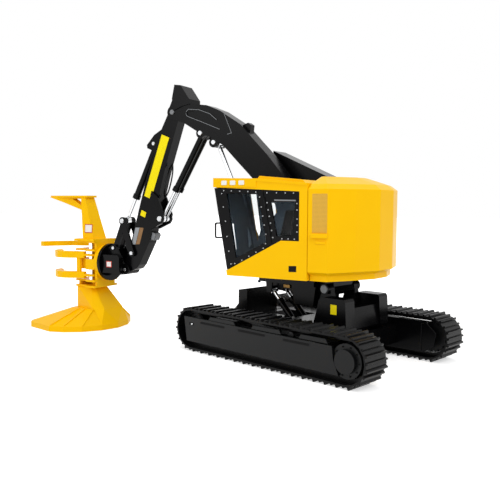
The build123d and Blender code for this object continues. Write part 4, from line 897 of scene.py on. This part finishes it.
view = Vector((math.cos(PITCH) * math.cos(YAW), math.cos(PITCH) * math.sin(YAW), -math.sin(PITCH)))
right = view.cross(Vector((0, 0, 1))).normalized()
down = view.cross(right)
turned_right = math.cos(ROLL) * right + math.sin(ROLL) * down
turned_down = -math.sin(ROLL) * right + math.cos(ROLL) * down
basis = Matrix((turned_right, -turned_down, -view)).transposed()
camera = bpy.data.objects.new("camera", bpy.data.cameras.new("camera"))
camera.data.sensor_width = SENSOR_MM
camera.data.lens = FOCAL_PIXELS * SENSOR_MM / FRAME_PIXELS
camera.data.clip_start = 0.01
camera.matrix_world = Matrix.Translation(CAMERA_PLACE) @ basis.to_4x4()
bpy.context.scene.collection.objects.link(camera)
bpy.context.scene.camera = camera
print("lens:", round(camera.data.lens, 2), "mm")

# %% [markdown]
# A product photo like this one is lit by large soft boxes and stands on white. The floor and world
# show white to the camera and in reflections, and light the model at a plain level.

# %% World and floor
WORLD_LIGHT = 0.54
FLOOR_LIGHT = 0.52
# the floor's sizes are in metres
FLOOR_NEAR, FLOOR_FAR = 0.15, 0.5
FLOOR_REACH = 4.0
FLOOR_DROP = 0.0001


def shown_rays(tree):
    # 1 for rays that show the backdrop: straight from the camera, through glass or off metal
    rays = add_node(tree, "ShaderNodeLightPath")
    either = rays.outputs["Is Camera Ray"]
    for kind in ("Is Transmission Ray", "Is Glossy Ray"):
        both = add_node(
            tree, "ShaderNodeMath", {"operation": "MAXIMUM"}, i0=either, i1=rays.outputs[kind]
        )
        either = both.outputs[0]
    return either


world = bpy.data.worlds.new("studio")
world.use_nodes = True
bpy.context.scene.world = world
tree = world.node_tree
tree.nodes.clear()
level = add_node(tree, "ShaderNodeMapRange", Value=shown_rays(tree), To_Min=WORLD_LIGHT, To_Max=1.0)
glow = add_node(tree, "ShaderNodeBackground", Color=(1, 1, 1, 1), Strength=level.outputs["Result"])
add_node(tree, "ShaderNodeOutputWorld", Surface=glow.outputs[0])

corners = [(x * FLOOR_REACH, y * FLOOR_REACH, 0) for x, y in ((-1, -1), (1, -1), (1, 1), (-1, 1))]
floor_mesh = bpy.data.meshes.new("studio_floor")
floor_mesh.from_pydata(corners, [], [(0, 1, 2, 3)])
floor = bpy.data.objects.new("studio_floor", floor_mesh)
floor.location.z = -FLOOR_DROP
bpy.context.scene.collection.objects.link(floor)

# near the model the card glows less, so that the model's shadow shows on it
card = bpy.data.materials.new("white_studio_card")
card.use_nodes = True
tree = card.node_tree
tree.nodes.clear()
matte = add_node(tree, "ShaderNodeBsdfDiffuse", Color=(0.85, 0.85, 0.85, 1))
place = add_node(tree, "ShaderNodeTexCoord").outputs["Object"]
distance = add_node(tree, "ShaderNodeVectorMath", {"operation": "LENGTH"}, i0=place)
fill = add_node(
    tree,
    "ShaderNodeMapRange",
    Value=distance.outputs["Value"],
    From_Min=FLOOR_NEAR,
    From_Max=FLOOR_FAR,
    To_Min=FLOOR_LIGHT,
    To_Max=1.0,
)
white = add_node(tree, "ShaderNodeEmission", Color=(1, 1, 1, 1), Strength=fill.outputs["Result"])
lit = add_node(tree, "ShaderNodeAddShader", i0=matte.outputs[0], i1=white.outputs[0])
mix = add_node(
    tree, "ShaderNodeMixShader", Fac=shown_rays(tree), i1=matte.outputs[0], i2=lit.outputs[0]
)
add_node(tree, "ShaderNodeOutputMaterial", Surface=mix.outputs[0])
floor_mesh.materials.append(card)
print("floor reaches", FLOOR_REACH, "m")

# %% [markdown]
# Three area lamps are the soft boxes: the key light from the left and behind, a weaker fill from the
# left and ahead, and one from above.

# %% Soft boxes
lamps = [
    # name, place, aim, width, height, watts, with lengths in metres
    ("key_soft_box", (-0.75, 0.55, 0.85), (0.02, 0, 0.07), 0.8, 0.8, 5.6),
    ("fill_soft_box", (0.45, 0.95, 0.55), (0.08, 0, 0.06), 0.7, 0.7, 2.6),
    ("top_soft_box", (0.05, -0.15, 1.1), (0.05, 0, 0.05), 0.9, 0.9, 3.2),
]
for name, place, aim, width, height, watts in lamps:
    lamp = bpy.data.lights.new(name, "AREA")
    lamp.shape = "RECTANGLE"
    lamp.size = width
    lamp.size_y = height
    lamp.energy = watts
    holder = bpy.data.objects.new(name, lamp)
    holder.location = place
    holder.rotation_euler = (Vector(aim) - Vector(place)).to_track_quat("-Z", "Y").to_euler()
    bpy.context.scene.collection.objects.link(holder)
bpy.context.scene.view_settings.view_transform = "Standard"
print("lamps:", len(lamps))
